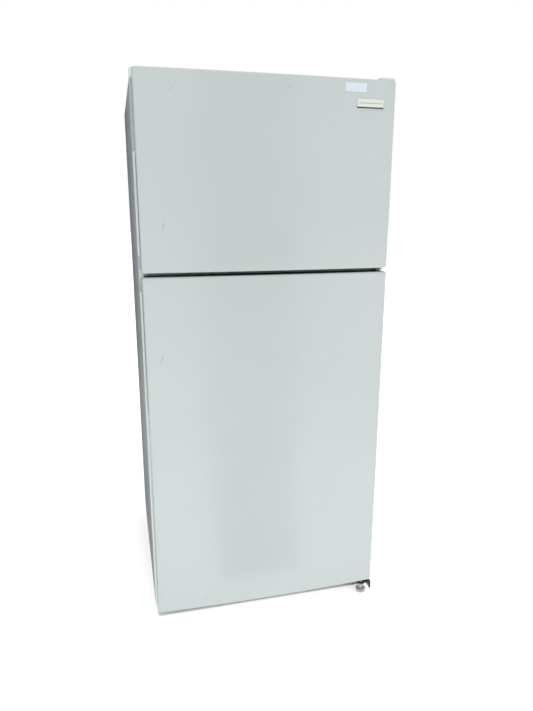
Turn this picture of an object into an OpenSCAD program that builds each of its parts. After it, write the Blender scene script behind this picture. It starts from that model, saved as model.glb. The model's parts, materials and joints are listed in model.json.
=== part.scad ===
// Top freezer refrigerator: a steel cabinet with two plastic-lined compartments,
// two foam-filled doors hinged on the right, side grips on the left door edges,
// and a forced-air cooling system in the base and behind the freezer.
// Millimetres. +X right, the doors face -Y, +Z up, the floor is at Z = 0.

/* [Cabinet] */
// Width over the painted side panels
cabinet_w = 762; // [740:1:790]
// Depth of the cabinet from its front frame to its back panel
cabinet_d = 695; // [680:1:720]
// Height of the cabinet top above the floor
cabinet_top = 1677; // [1670:1:1680]
// Lower edge of the side panels above the floor
skirt_z = 40; // [38:1:50]
// Thickness of the painted steel sheet
sheet = 0.8; // [0.6:0.1:1.2]
// Thickness of the moulded plastic liners
liner_t = 2; // [1.5:0.5:3]

/* [Doors] */
// Width of both doors
door_w = 750; // [736:1:754]
// Thickness of a door at its side edges
door_t = 60; // [58:1:66]
// How far the middle of the face stands in front of its side edges
crown = 8; // [4:1:12]
// Space between a door and the cabinet front, filled by the gasket
gasket_gap = 5; // [5:1:6]
// Lower edge of the fridge door above the floor
door_bottom = 45; // [44:1:50]
// Height of the fridge door
fridge_door_h = 1100; // [1095:1:1105]
// Space between the two doors
door_gap = 11; // [10:1:12]
// Height of the freezer door
freezer_door_h = 538; // [532:1:540]
// Radius of the doors' front vertical edges
front_edge_r = 10; // [6:1:12]
// Radius of the doors' rear vertical edges
rear_edge_r = 8; // [8:1:10]

/* [Side grips] */
// How far the grips stand out of the door side
grip_proud = 6; // [4:1:6]
// Length of the freezer door's grip
freezer_grip_l = 284; // [240:1:320]
// Distance of each grip from its door's edge at the gap
grip_offset = 46; // [40:1:60]
// Length of the fridge door's finger pocket
fridge_pocket_l = 374; // [300:1:450]

/* [Compartments] */
// Side wall thickness around the fresh food compartment
fridge_wall = 45; // [42:1:46]
// Side wall thickness around the freezer
freezer_wall = 55; // [53:1:60]
// Heights of the two glass shelves above the floor
shelf_z = [590, 810];
// Height of the freezer's wire shelf above the floor
wire_shelf_z = 1396; // [1380:1:1420]

/* [Hinges, legs and rollers] */
// Distance of the hinge axis from the door's right side
hinge_inset = 16; // [14:1:18]
// Distance of the hinge axis from the door's rear face
hinge_setback = 32; // [31:1:34]
// Radius of the hinge pins
pin_r = 6; // [5:0.5:6]
// Radius of a levelling leg's pad
pad_r = 16; // [14:1:17]
// Radius of the rear rollers
roller_r = 22; // [20:1:24]

/* [Hidden] */
$fn = 48;

// ---- derived places ----
cab_x = cabinet_w / 2;
door_x = door_w / 2;
depth = crown + door_t + gasket_gap + cabinet_d;
rear_y = depth / 2;
cab_y = rear_y - cabinet_d;
door_back_y = cab_y - gasket_gap;
face_y = door_back_y - door_t;
fridge_z = [door_bottom, door_bottom + fridge_door_h];
freezer_z = [fridge_z[1] + door_gap, fridge_z[1] + door_gap + freezer_door_h];
hinge_x = door_x - hinge_inset;
hinge_y = door_back_y - hinge_setback;
run_fit = 0.05;      // radial clearance of pins and axles that turn
slip = 0.3;          // clearance between faces that slide past each other

// Cabinet front frame: rails between and below the openings
frame_t = 1.2;
flange_in_x = 352;   // inner edge of the shell's side flanges
fresh_x = cab_x - fridge_wall;
fresh_z = [105, 1110];
fresh_back_y = rear_y - 54;
ice_x = cab_x - freezer_wall;
ice_z = [1190, cabinet_top - 55];
ice_back_y = rear_y - 76;
rail_z = [fresh_z[1] + 8, ice_z[0] - 8];
corner_r = 25;       // rounding of both compartments
bay_y = rear_y - 232;
bay_z = [56, 300];
step_y = bay_y - 24;
step_z = bay_z[1] + 42;
ledge = 8;

// Door build-up
liner_y = door_back_y - 1.5;
cap_h = 14;
dike_w = 28;
dike_d = 30;
gasket_x = [337, 351];
block_y = [face_y + 8.5, door_back_y - 8];
lip_y = [block_y[1] - 12, block_y[1]];
pocket_floor_x = -door_x + 20;
block_x = -door_x + 22;
freezer_grip_z = [freezer_z[0] + grip_offset, freezer_z[0] + grip_offset + freezer_grip_l];
fridge_grip_z = [fridge_z[0] + 2, fridge_z[1] - grip_offset];
fridge_pocket_z = [fridge_grip_z[1] - fridge_pocket_l, fridge_grip_z[1]];

// Door shelves, shared by bins, liners and the dairy box
fresh_dike = [284 + dike_w, 120, 1095];
ice_dike = [276 + dike_w, ice_z[0] + 16, ice_z[1] - 16];
bin_wall = 2.2;
freezer_bins = [[1240, 60], [1424, 60]];
fridge_bins = [[350, 90], [560, 80], [755, 80]];
freezer_bin_d = 80;
fridge_bin_d = 100;
dairy_z = [958, 1043];
lid_axis = [door_back_y + 84, 1036];
lid_pin_r = 2.5;

// Crispers and their cover
cover_z = [345, 357];
crisper_y = [-160, step_y - 16];
crisper_z = [112, 304];
crisper_x = [12, 324];
crisper_wall = 2.5;

// Legs, rollers and hinge plates
leg_x = 340;
right_leg_y = face_y + 10;
left_leg_y = cab_y + 24;
plate_z = [36, 40];
roller_x = 340;
roller_y = rear_y - 58;
gap_plate_z = fridge_z[1] + door_gap / 2;
top_plate_z = freezer_z[1] + 3;
cover_top_z = freezer_z[1] + 8;

// ---- shared shapes ----
module box(x, y, z) {
    translate([x[0], y[0], z[0]])
        cube([x[1] - x[0], y[1] - y[0], z[1] - z[0]]);
}

module round_rect(x, z, r) {
    translate([x[0] + r, z[0]]) square([x[1] - x[0] - 2 * r, z[1] - z[0]]);
    translate([x[0], z[0] + r]) square([x[1] - x[0], z[1] - z[0] - 2 * r]);
    for (cx = [x[0] + r, x[1] - r], cz = [z[0] + r, z[1] - r])
        translate([cx, cz]) circle(r);
}

// A rounded rectangle in front view, running back from y[0] to y[1]
module tunnel(x, y, z, r) {
    translate([0, y[1], 0])
        rotate([90, 0, 0])
            linear_extrude(y[1] - y[0]) round_rect(x, z, r);
}

module pin_y(x, y, z, r) {
    translate([x, y[0], z]) rotate([-90, 0, 0]) cylinder(r = r, h = y[1] - y[0]);
}

module pin_x(x, y, z, r) {
    translate([x[0], y, z]) rotate([0, 90, 0]) cylinder(r = r, h = x[1] - x[0]);
}

module pin_z(x, y, z, r) {
    translate([x, y, z[0]]) cylinder(r = r, h = z[1] - z[0]);
}

// Open-topped box with a wall all round and a floor
module tray(x, y, z, wall) {
    difference() {
        box(x, y, z);
        box([x[0] + wall, x[1] - wall], [y[0] + wall, y[1] - wall], [z[0] + wall, z[1] + 1]);
    }
}

// ---- cabinet ----
module cabinet_shell() {
    color("white") {
        difference() {
            box([-cab_x, cab_x], [cab_y, rear_y], [skirt_z, cabinet_top]);
            box([-cab_x + sheet, cab_x - sheet], [cab_y - 1, rear_y + 1],
                [skirt_z - 1, cabinet_top - sheet]);
        }
        for (s = [-1, 1])
            box([min(s * flange_in_x, s * (cab_x - sheet)), max(s * flange_in_x, s * (cab_x - sheet))],
                [cab_y, cab_y + sheet], [skirt_z, cabinet_top - sheet]);
        box([-flange_in_x, flange_in_x], [cab_y, cab_y + sheet],
            [ice_z[1] + 26, cabinet_top - sheet]);
    }
}

module cabinet_back() {
    color("gainsboro")
        box([-cab_x + sheet, cab_x - sheet], [rear_y - sheet, rear_y],
            [bay_z[1], cabinet_top - sheet]);
}

module base_pan() {
    x = [-cab_x + sheet, cab_x - sheet];
    color("silver") {
        box(x, [cab_y + 2, bay_y], [bay_z[0] - sheet, bay_z[0]]);
        box(x, [bay_y, bay_y + sheet], [bay_z[0] - sheet, bay_z[1]]);
        box(x, [bay_y + sheet, rear_y], [bay_z[1] - sheet, bay_z[1]]);
        box(x, [bay_y + sheet, rear_y - 3], [bay_z[0] - sheet, bay_z[0] + 2]);
    }
}

module fresh_outer() {
    difference() {
        tunnel([-fresh_x - liner_t, fresh_x + liner_t], [cab_y, fresh_back_y + liner_t],
               [fresh_z[0] - liner_t, fresh_z[1] + liner_t], corner_r + liner_t);
        box([-cab_x, cab_x], [step_y + liner_t, rear_y], [0, step_z - liner_t]);
    }
}

module ice_outer() {
    tunnel([-ice_x - liner_t, ice_x + liner_t], [cab_y, ice_back_y + liner_t],
           [ice_z[0] - liner_t, ice_z[1] + liner_t], corner_r + liner_t);
}

module cabinet_foam() {
    color("wheat")
        difference() {
            box([-cab_x + sheet, cab_x - sheet], [cab_y + frame_t, rear_y - sheet],
                [bay_z[0], cabinet_top - sheet]);
            box([-cab_x, cab_x], [bay_y, rear_y], [0, bay_z[1]]);
            fresh_outer();
            ice_outer();
        }
}

module liner_flange(z) {
    box([-flange_in_x, flange_in_x], [cab_y, cab_y + frame_t], z);
}

module fresh_food_liner() {
    color("white") {
        difference() {
            union() {
                fresh_outer();
                liner_flange([fresh_z[0] - 8, rail_z[0]]);
            }
            difference() {
                tunnel([-fresh_x, fresh_x], [cab_y - 1, fresh_back_y], fresh_z, corner_r);
                box([-cab_x, cab_x], [step_y, rear_y], [0, step_z]);
            }
        }
        for (s = [-1, 1], z = shelf_z)
            box([s > 0 ? fresh_x - ledge : -fresh_x, s > 0 ? fresh_x : -fresh_x + ledge],
                [-180, 300], [z - 6, z]);
        for (s = [-1, 1], z = [cover_z[0], crisper_z[1] - 3 - slip])
            box([s > 0 ? fresh_x - 11 : -fresh_x, s > 0 ? fresh_x : -fresh_x + 11],
                [-165, step_y], [z - 5, z]);
    }
}

module freezer_liner() {
    color("white") {
        difference() {
            union() {
                ice_outer();
                liner_flange([rail_z[1], ice_z[1] + 26]);
            }
            tunnel([-ice_x, ice_x], [cab_y - 1, ice_back_y], ice_z, corner_r);
        }
        for (s = [-1, 1])
            box([s > 0 ? ice_x - ledge : -ice_x, s > 0 ? ice_x : -ice_x + ledge],
                [-170, 225], [wire_shelf_z - 6, wire_shelf_z]);
    }
}

module front_rails() {
    color("white") {
        box([-flange_in_x, flange_in_x], [cab_y, cab_y + frame_t], rail_z);
        box([-flange_in_x, flange_in_x], [cab_y, cab_y + frame_t],
            [skirt_z + 2, fresh_z[0] - 8]);
    }
}

// ---- hinges ----
module hinge_arm(z, reach_x) {
    translate([0, 0, z[0]])
        linear_extrude(z[1] - z[0]) {
            translate([hinge_x, hinge_y]) circle(13);
            translate([reach_x, hinge_y]) square([hinge_x + 13 - reach_x, cab_y - hinge_y]);
        }
}

module top_hinge() {
    color("white") {
        difference() {
            box([322, 372], [cab_y + 8, cab_y + 84], [cabinet_top, cabinet_top + 3]);
            for (x = [334, 360]) pin_z(x, cab_y + 50, [0, cabinet_top + 9], 3.2);
        }
        box([345, 372], [cab_y + 8, cab_y + 11], [cabinet_top, top_plate_z + 3]);
        hinge_arm([top_plate_z, top_plate_z + 3], 345);
        box([345, 372], [cab_y, cab_y + 11], [top_plate_z, top_plate_z + 3]);
        pin_z(hinge_x, hinge_y, [freezer_z[1] - cap_h + 2, top_plate_z], pin_r);
    }
}

module top_hinge_cover() {
    t = 1.6;
    color("white")
        difference() {
            union() {
                box([316, cab_x - 3], [cab_y + 2, cab_y + 98], [cabinet_top, cover_top_z]);
                box([330, door_x - 1], [face_y + 10, cab_y + 2], [freezer_z[1] + 1, cover_top_z]);
            }
            box([316 + t, cab_x - 3 - t], [cab_y + 2 + t, cab_y + 98 - t],
                [cabinet_top - 1, cover_top_z - t]);
            box([330 + t, door_x - 1 - t], [face_y + 10 + t, cab_y + 4],
                [freezer_z[1], cover_top_z - t]);
        }
}

module centre_hinge() {
    z = [gap_plate_z - 1.5, gap_plate_z + 1.5];
    color("silver") {
        hinge_arm(z, 345);
        difference() {
            box([353, 379], [cab_y - 2.5, cab_y], [gap_plate_z - 22, gap_plate_z + 22]);
            for (dz = [-14, 14]) pin_y(366, [cab_y - 5, cab_y + 1], gap_plate_z + dz, 3.2);
        }
        pin_z(hinge_x, hinge_y, [fridge_z[1] - cap_h + 2, freezer_z[0] + cap_h - 2], pin_r);
    }
}

module bottom_hinge() {
    notch_y = face_y + 18;
    color([0.05, 0.05, 0.05]) {
        difference() {
            union() {
                box([322, 374], [cab_y, cab_y + 70], plate_z);
                translate([0, 0, plate_z[0]])
                    linear_extrude(plate_z[1] - plate_z[0]) {
                        translate([leg_x, right_leg_y]) circle(15);
                        translate([leg_x - 15, right_leg_y]) square([49, cab_y - right_leg_y]);
                        translate([leg_x, face_y]) square([34, 20]);
                    }
            }
            pin_z(leg_x, right_leg_y, [0, plate_z[1] + 1], 6 + run_fit);
            for (x = [334, 360]) pin_z(x, cab_y + 50, [0, plate_z[1] + 1], 3.2);
        }
        difference() {
            box([371, 374], [face_y, cab_y + 70], [10, plate_z[0]]);
            translate([370, notch_y, 9]) rotate([45, 0, 0]) cube([5, 9, 9]);
            box([370, 375], [cab_y - 4, cab_y + 71], [9, 24]);
        }
        pin_z(hinge_x, hinge_y, [plate_z[1], fridge_z[0] + cap_h - 2], pin_r);
    }
}

module screw_z(x, y, z, up) {
    pin_z(x, y, up > 0 ? [z, z + 3.4] : [z - 3.4, z], 6);
    pin_z(x, y, up > 0 ? [z - 3, z] : [z, z + 4], 3);
}

module hinge_screws() {
    color("silver") {
        for (x = [334, 360]) {
            screw_z(x, cab_y + 50, cabinet_top + 3, 1);
            screw_z(x, cab_y + 50, plate_z[0], -1);
            screw_z(-x, cab_y + 50, plate_z[0], -1);
        }
        for (dz = [-14, 14]) {
            pin_y(366, [cab_y - 3.1, cab_y - 2.5], gap_plate_z + dz, 5);
            pin_y(366, [cab_y - 2.5, cab_y], gap_plate_z + dz, 3);
        }
    }
}

module hinge_hole_cover() {
    color("white")
        box([-cab_x + 2, -354], [cab_y - 3, cab_y], [gap_plate_z - 14, gap_plate_z + 14]);
}

// ---- base ----
module toe_grille() {
    x = 316;
    z = [14, 50];
    y = [cab_y - 4, cab_y - 1];
    color("dimgray")
        difference() {
            box([-368, x], y, z);
            for (i = [0 : 33])
                box([-352 + i * 19.4, -352 + i * 19.4 + 13], [y[0] - 1, y[1] + 1], [20, 42]);
        }
}

module roller_brackets() {
    color("silver") {
        for (s = [-1, 1]) {
            for (dx = [-14, 12])
                difference() {
                    box([s * roller_x + dx, s * roller_x + dx + 2],
                        [roller_y - 24, roller_y + 24], [14, bay_z[0] - sheet]);
                    pin_x([s * roller_x - 20, s * roller_x + 20], roller_y, roller_r, 4);
                }
            pin_x([s * roller_x - 17, s * roller_x + 17], roller_y, roller_r, 4);
        }
        // front left foot bracket, the fellow of the lower hinge plate
        difference() {
            box([-374, -322], [cab_y + 4, cab_y + 70], plate_z);
            pin_z(-leg_x, left_leg_y, [0, plate_z[1] + 1], 6 + run_fit);
            for (x = [334, 360]) pin_z(-x, cab_y + 50, [0, plate_z[1] + 1], 3.2);
        }
        for (s = [-1, 1])
            box([s > 0 ? 350 : -372, s > 0 ? 372 : -350], [cab_y + 56, cab_y + 70],
                [plate_z[1], bay_z[0] - sheet]);
    }
}

module leg(x, y, top) {
    color("darkgray") {
        pin_z(x, y, [0, 14], pad_r);
        pin_z(x, y, [14, 16.5], 11.5);
        pin_z(x, y, [16.5, plate_z[0] - slip], 9.5);
        pin_z(x, y, [plate_z[0] - slip, top], 6);
    }
}

module leg_left() { leg(-leg_x, left_leg_y, 52); }

module leg_right() { leg(leg_x, right_leg_y, fridge_z[0] - 1.5); }

module roller(s) {
    color("dimgray")
        difference() {
            pin_x([s * roller_x - 11, s * roller_x + 11], roller_y, roller_r, roller_r);
            pin_x([s * roller_x - 12, s * roller_x + 12], roller_y, roller_r, 4 + run_fit);
        }
}

module roller_left() { roller(-1); }

module roller_right() { roller(1); }

// ---- cooling system ----
module compressor() {
    c = [235, bay_y + 116];
    color([0.08, 0.08, 0.09]) {
        translate([c[0], c[1], 0])
            rotate_extrude()
                intersection() {
                    round_rect([-76, 76], [78, 248], 40);
                    square([80, 260]);
                }
        for (dx = [-1, 1], dy = [-1, 1])
            pin_z(c[0] + dx * 86, c[1] + dy * 70, [bay_z[0] + 2, 84], 13);
        box([c[0] - 99, c[0] + 99], [c[1] - 82, c[1] + 82], [84, 88]);
        pin_z(c[0] - 60, c[1] + 60, [88, 262], 4);
        pin_z(c[0] - 60, c[1] - 60, [88, 262], 4);
    }
}

module fin_pack(x, y, z, fins, rows, tube_r) {
    pitch = (x[1] - x[0] - 1) / (fins - 1);
    for (i = [0 : fins - 1])
        box([x[0] + i * pitch, x[0] + i * pitch + 1], y, z);
    for (j = [0 : rows - 1], k = [0.25, 0.75])
        pin_x([x[0] - 10, x[1] + 10], y[0] + k * (y[1] - y[0]),
              z[0] + (j + 0.5) * (z[1] - z[0]) / rows, tube_r);
}

module condenser() {
    color("dimgray")
        fin_pack([-330, -110], [bay_y + 40, bay_y + 190], [96, 236], 23, 5, 4);
}

fan_c = [-30, bay_y + 116, 166];
ice_fan_c = [0, ice_back_y - 42, 1500];

module blades() {
    for (a = [0 : 72 : 359])
        rotate([0, 0, a])
            translate([12, -13, -1])
                rotate([24, 0, 0]) cube([42, 26, 1.8]);
    cylinder(r = 15, h = 16, center = true);
    cylinder(r = 3, h = 36);
}

module fan_motor() {
    difference() {
        translate([0, 0, 12]) cylinder(r = 27, h = 34);
        cylinder(r = 3 + run_fit, h = 38);
    }
    for (a = [0, 120, 240])
        rotate([0, 0, a]) translate([26, -5, 30]) cube([36, 10, 3]);
    difference() {
        translate([0, 0, 30]) cylinder(r = 66, h = 3);
        cylinder(r = 61, h = 80);
    }
}

module condenser_fan_motor() {
    color("gray") {
        translate(fan_c) rotate([0, 90, 0]) fan_motor();
        box([fan_c[0] + 30, fan_c[0] + 33], [fan_c[1] - 20, fan_c[1] + 20],
            [bay_z[0] + 2, fan_c[2] - 61]);
    }
}

module condenser_fan() {
    color("black") translate(fan_c) rotate([0, 90, 0]) blades();
}

module drain_pan() {
    color("gray") tray([-336, -80], [bay_y + 30, bay_y + 200], [bay_z[0] + 2, 88], 2);
}

module rear_cover() {
    color("gray")
        difference() {
            box([-cab_x + 4, cab_x - 4], [rear_y - 2, rear_y], [skirt_z + 6, bay_z[1] - sheet]);
            for (sx = [-1, 1], i = [0 : 8])
                box([sx * 215 - 95, sx * 215 + 95], [rear_y - 3, rear_y + 1],
                    [110 + i * 18, 118 + i * 18]);
        }
}

module evaporator() {
    color("silver")
        fin_pack([-225, 225], [ice_back_y - 64, ice_back_y - 6], [1200, 1368], 37, 6, 4);
}

module evaporator_cover() {
    y = [ice_back_y - 76, ice_back_y - 73];
    color("white")
        difference() {
            tunnel([-ice_x + 1, ice_x - 1], y, [ice_z[0] + 1, ice_z[1] - 1], corner_r);
            for (i = [0 : 6])
                box([-60, 60], [y[0] - 1, y[1] + 1], [1464 + i * 12, 1470 + i * 12]);
            for (i = [0 : 17])
                box([-255 + i * 30, -235 + i * 30], [y[0] - 1, y[1] + 1], [1198, 1212]);
        }
}

module evaporator_fan_motor() {
    color("gray") translate(ice_fan_c) rotate([-90, 0, 0]) translate([0, 0, -14]) fan_motor();
    color("gray")
        box([-5, 5], [ice_fan_c[1] + 16, ice_fan_c[1] + 19], [1370, ice_fan_c[2] - 61]);
}

module evaporator_fan() {
    color("white") translate(ice_fan_c) rotate([-90, 0, 0]) translate([0, 0, -14]) blades();
}

// ---- fresh food compartment ----
house_x = 150;
house_y = [-100, 60];
house_z = [1062, fresh_z[1]];
lens_x = [30, 130];
knob_x = [-95, -35];
knob_z = 1086;
knob_r = 16;
switch_x = 214;
switch_z = fresh_dike[2] - dike_w / 2;   // faces the middle of the dike's top run
switch_y = door_back_y + dike_d;        // face of that run, which presses the plunger

module control_housing() {
    color("white")
        difference() {
            box([-house_x, house_x], house_y, house_z);
            box([-house_x + 2, house_x - 2], [house_y[0] + 2, house_y[1] - 2],
                [house_z[0] + 2, house_z[1] + 1]);
            box(lens_x, [house_y[0] + 12, house_y[1] - 12], [house_z[0] - 1, house_z[0] + 3]);
            for (x = knob_x)
                pin_y(x, [house_y[0] - 1, house_y[0] + 3], knob_z, 3 + run_fit);
        }
}

module light_lens() {
    z = [house_z[0] - 12, house_z[0] + 2];
    color([0.95, 0.95, 0.9, 0.6])
        difference() {
            box(lens_x, [house_y[0] + 12, house_y[1] - 12], z);
            box([lens_x[0] + 1.6, lens_x[1] - 1.6], [house_y[0] + 13.6, house_y[1] - 13.6],
                [z[0] + 1.6, z[1] + 1]);
        }
}

module light_bulb() {
    x = (lens_x[0] + lens_x[1]) / 2;
    y = (house_y[0] + house_y[1]) / 2;
    color("lightyellow") {
        translate([x, y, house_z[0] + 12]) sphere(16);
        pin_z(x, y, [house_z[0] + 24, house_z[1]], 9);
    }
}

module knob(x) {
    color("white") {
        pin_y(x, [house_y[0] - 16, house_y[0] - slip], knob_z, knob_r);
        box([x - 3, x + 3], [house_y[0] - 22, house_y[0] - 16],
            [knob_z - knob_r + 2, knob_z + knob_r - 2]);
        pin_y(x, [house_y[0] - slip, house_y[0] + 10], knob_z, 3);
    }
}

module freezer_knob() { knob(knob_x[0]); }

module fridge_knob() { knob(knob_x[1]); }

module light_switch() {
    color("white")
        difference() {
            box([switch_x - 13, switch_x + 13], [switch_y + 18, switch_y + 54],
                [switch_z - 12, fresh_z[1]]);
            pin_y(switch_x, [switch_y + 17, switch_y + 50], switch_z, 4 + run_fit);
        }
}

module switch_plunger() {
    color("white")
        pin_y(switch_x, [switch_y + 0.5, switch_y + 40], switch_z, 4);
}

shelf_y = [-180, 300];
shelf_x = fresh_x - 3;
glass_x = shelf_x - 16;

module glass_frame(y, z) {
    difference() {
        box([-shelf_x, shelf_x], y, z);
        box([-glass_x + 6, glass_x - 6], [y[0] + 22, y[1] - 22], [z[0] - 1, z[1] + 1]);
        box([-glass_x, glass_x], [y[0] + 16, y[1] - 16], [z[0] + 6, z[1] + 1]);
    }
}

module glass_pane(y, z) {
    box([-glass_x, glass_x], [y[0] + 16, y[1] - 16], [z + 6, z + 10]);
}

module shelf_frames() {
    color("white") for (z = shelf_z) glass_frame(shelf_y, [z, z + 14]);
}

module shelf_glass() {
    color([0.75, 0.88, 0.85, 0.4]) {
        for (z = shelf_z) glass_pane(shelf_y, z);
        glass_pane([-165, step_y - 4], cover_z[0]);
    }
}

module crisper_cover() {
    ledge_z = crisper_z[1] - 3 - slip;
    y = [-160, step_y - 5];
    color("white") {
        glass_frame([-165, step_y - 4], [cover_z[0], cover_z[0] + 14]);
        box([-11, 11], y, [cover_z[0] - 2, cover_z[0] + 6]);
        box([-2, 2], y, [ledge_z - 5, cover_z[0]]);
        box([-10, 10], y, [ledge_z - 5, ledge_z]);
    }
}

module crisper(s) {
    x = s > 0 ? crisper_x : [-crisper_x[1], -crisper_x[0]];
    rim = [x[0] - (s > 0 ? 7 : 9), x[1] + (s > 0 ? 9 : 7)];
    color([0.8, 0.9, 0.95, 0.5])
        difference() {
            union() {
                box(x, crisper_y, crisper_z);
                box(rim, [crisper_y[0] + 6, crisper_y[1]], [crisper_z[1] - 3, crisper_z[1]]);
                box([x[0] + 60, x[1] - 60], [crisper_y[0] - 6, crisper_y[0]],
                    [crisper_z[1] - 34, crisper_z[1] - 26]);
            }
            box([x[0] + crisper_wall, x[1] - crisper_wall],
                [crisper_y[0] + crisper_wall, crisper_y[1] - crisper_wall],
                [crisper_z[0] + crisper_wall, crisper_z[1] + 1]);
        }
}

module crisper_left() { crisper(-1); }

module crisper_right() { crisper(1); }

module freezer_shelf() {
    y = [-168, 222];
    z = wire_shelf_z + 3;
    wires = 25;
    color("white") {
        for (yy = [y[0], (y[0] + y[1]) / 2, y[1]])
            pin_x([-ice_x + 3, ice_x - 3], yy, z, 3);
        for (i = [0 : wires - 1])
            pin_y(-ice_x + 8 + i * (2 * ice_x - 16) / (wires - 1), y, z, 1.6);
    }
}

// ---- doors ----
function face_at(x) = face_y - crown * (1 - pow(x / door_x, 2));

function arc(cx, cy, r, a0, a1) =
    [for (i = [0 : 5]) let (a = a0 + (a1 - a0) * i / 5) [cx + r * cos(a), cy + r * sin(a)]];

// Plan outline of a door, moved inwards by inset
function outline(inset) =
    let (x = door_x - inset,
         yb = door_back_y - inset,
         fr = front_edge_r - inset,
         rr = rear_edge_r - inset,
         n = 20)
    concat(
        [for (i = [0 : n]) let (px = (x - fr) * (2 * i / n - 1)) [px, face_at(px) + inset]],
        arc(x - fr, face_at(x - fr) + inset + fr, fr, -72, 0),
        arc(x - rr, yb - rr, rr, 0, 90),
        arc(-x + rr, yb - rr, rr, 90, 180),
        arc(-x + fr, face_at(x - fr) + inset + fr, fr, 180, 252)
    );

module door_slab(inset, z) {
    translate([0, 0, z[0]]) linear_extrude(z[1] - z[0]) polygon(outline(inset));
}

module grip_block(z, pocket_z) {
    box([-door_x - 1, block_x], [lip_y[0], block_y[1]], z);
    box([-door_x - 1, block_x], block_y, pocket_z);
}

module door_skin(z, pocket_z) {
    color("whitesmoke")
        difference() {
            door_slab(0, z);
            door_slab(sheet, [z[0] - 1, z[1] + 1]);
            box([-door_x + 16, door_x - 16], [door_back_y - 5, door_back_y + 1],
                [z[0] - 1, z[1] + 1]);
            box([-door_x - 1, block_x], block_y, pocket_z);
        }
}

module door_cap(z) {
    difference() {
        intersection() {
            door_slab(sheet, z);
            box([-door_x, door_x], [face_y - crown - 1, liner_y], z);
        }
        pin_z(hinge_x, hinge_y, [z[0] - 1, z[1] + 1], pin_r + run_fit);
    }
}

module dike(d, out, depth) {
    box([-d[0] + out, d[0] - out], [liner_y - 1, door_back_y + depth], [d[1] + out, d[2] - out]);
}

// The hollow of the raised ring around the door shelves
module dike_core(d) {
    difference() {
        box([-d[0] + 1.5, d[0] - 1.5], [liner_y, door_back_y + dike_d - 1.5],
            [d[1] + 1.5, d[2] - 1.5]);
        box([-d[0] + dike_w - 1.5, d[0] - dike_w + 1.5], [liner_y - 1, door_back_y + dike_d],
            [d[1] + dike_w - 1.5, d[2] - dike_w + 1.5]);
    }
}

module door_foam(z, pocket_z, d) {
    color("wheat") {
        difference() {
            intersection() {
                door_slab(sheet, [z[0] + cap_h, z[1] - cap_h]);
                box([-door_x, door_x], [face_y - crown - 1, liner_y], z);
            }
            box([-door_x - 1, block_x], block_y, pocket_z);
        }
        dike_core(d);
    }
}

module door_liner(z, d) {
    color("white")
        difference() {
            union() {
                box([-door_x + 16, door_x - 16], [liner_y, door_back_y], z);
                difference() {
                    box([-d[0], d[0]], [liner_y, door_back_y + dike_d], [d[1], d[2]]);
                    box([-d[0] + dike_w, d[0] - dike_w], [door_back_y, door_back_y + dike_d + 1],
                        [d[1] + dike_w, d[2] - dike_w]);
                }
            }
            dike_core(d);
        }
}

module door_gasket(z) {
    color("lightgray")
        difference() {
            box([-gasket_x[1], gasket_x[1]], [door_back_y, cab_y - slip], z);
            box([-gasket_x[0], gasket_x[0]], [door_back_y - 1, cab_y],
                [z[0] + gasket_x[1] - gasket_x[0], z[1] - gasket_x[1] + gasket_x[0]]);
        }
}

// Side grip: a proud lip with a finger pocket in front of it
module side_grip(lip_z, pocket_z) {
    t = 1.5;
    color("whitesmoke")
        difference() {
            union() {
                box([-door_x - grip_proud, -door_x], lip_y, lip_z);
                box([-door_x, block_x], block_y, pocket_z);
            }
            box([-door_x - 1, pocket_floor_x], [block_y[0] + t, lip_y[0]],
                [pocket_z[0] + t, pocket_z[1] - t]);
        }
}

module door_bin(x, z, h, d) {
    tray([-x, x], [door_back_y + 0.5, door_back_y + d], [z, z + h], bin_wall);
}

ice_gasket_z = [ice_z[0] - 20, ice_z[1] + 20];
fresh_gasket_z = [fresh_z[0] - 20, fresh_z[1] + 20];

module freezer_door_skin() { door_skin(freezer_z, freezer_grip_z); }

module freezer_door_foam() { door_foam(freezer_z, freezer_grip_z, ice_dike); }

module freezer_door_liner() { door_liner(freezer_z, ice_dike); }

module freezer_door_gasket() { door_gasket(ice_gasket_z); }

module freezer_door_caps() {
    color("whitesmoke") {
        door_cap([freezer_z[0], freezer_z[0] + cap_h]);
        door_cap([freezer_z[1] - cap_h, freezer_z[1]]);
        box([-door_x - grip_proud, -door_x], [face_y + 12, block_y[1]],
            [freezer_z[1] - 24, freezer_z[1] - 1]);
    }
}

module freezer_grip() { side_grip(freezer_grip_z, freezer_grip_z); }

module freezer_door_bins() {
    color([0.9, 0.95, 1, 0.6])
        for (b = freezer_bins) door_bin(ice_dike[0] - dike_w - 1, b[0], b[1], freezer_bin_d);
}

// A thin plate that follows the crown of the freezer door's face
module on_face(x, z, t) {
    translate([0, 0, z[0]])
        linear_extrude(z[1] - z[0])
            difference() {
                intersection() {
                    translate([x[0], face_y - crown - 5]) square([x[1] - x[0], 20]);
                    translate([0, -t]) polygon(outline(0));
                }
                polygon(outline(0));
            }
}

module badge_plate() {
    color("ivory") on_face([252, 334], [freezer_z[1] - 79, freezer_z[1] - 54], 2);
}

module paper_label() {
    color("lavender") on_face([215, 280], [freezer_z[1] - 37, freezer_z[1] - 13], 0.4);
}

module fridge_door_skin() { door_skin(fridge_z, fridge_pocket_z); }

module fridge_door_foam() { door_foam(fridge_z, fridge_pocket_z, fresh_dike); }

module fridge_door_liner() { door_liner(fridge_z, fresh_dike); }

module fridge_door_gasket() { door_gasket(fresh_gasket_z); }

module fridge_door_caps() {
    color("whitesmoke") {
        door_cap([fridge_z[0], fridge_z[0] + cap_h]);
        door_cap([fridge_z[1] - cap_h, fridge_z[1]]);
    }
}

module fridge_grip() { side_grip(fridge_grip_z, fridge_pocket_z); }

module fridge_door_bins() {
    color([0.9, 0.95, 1, 0.6])
        for (b = fridge_bins) door_bin(fresh_dike[0] - dike_w - 1, b[0], b[1], fridge_bin_d);
}

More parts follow.
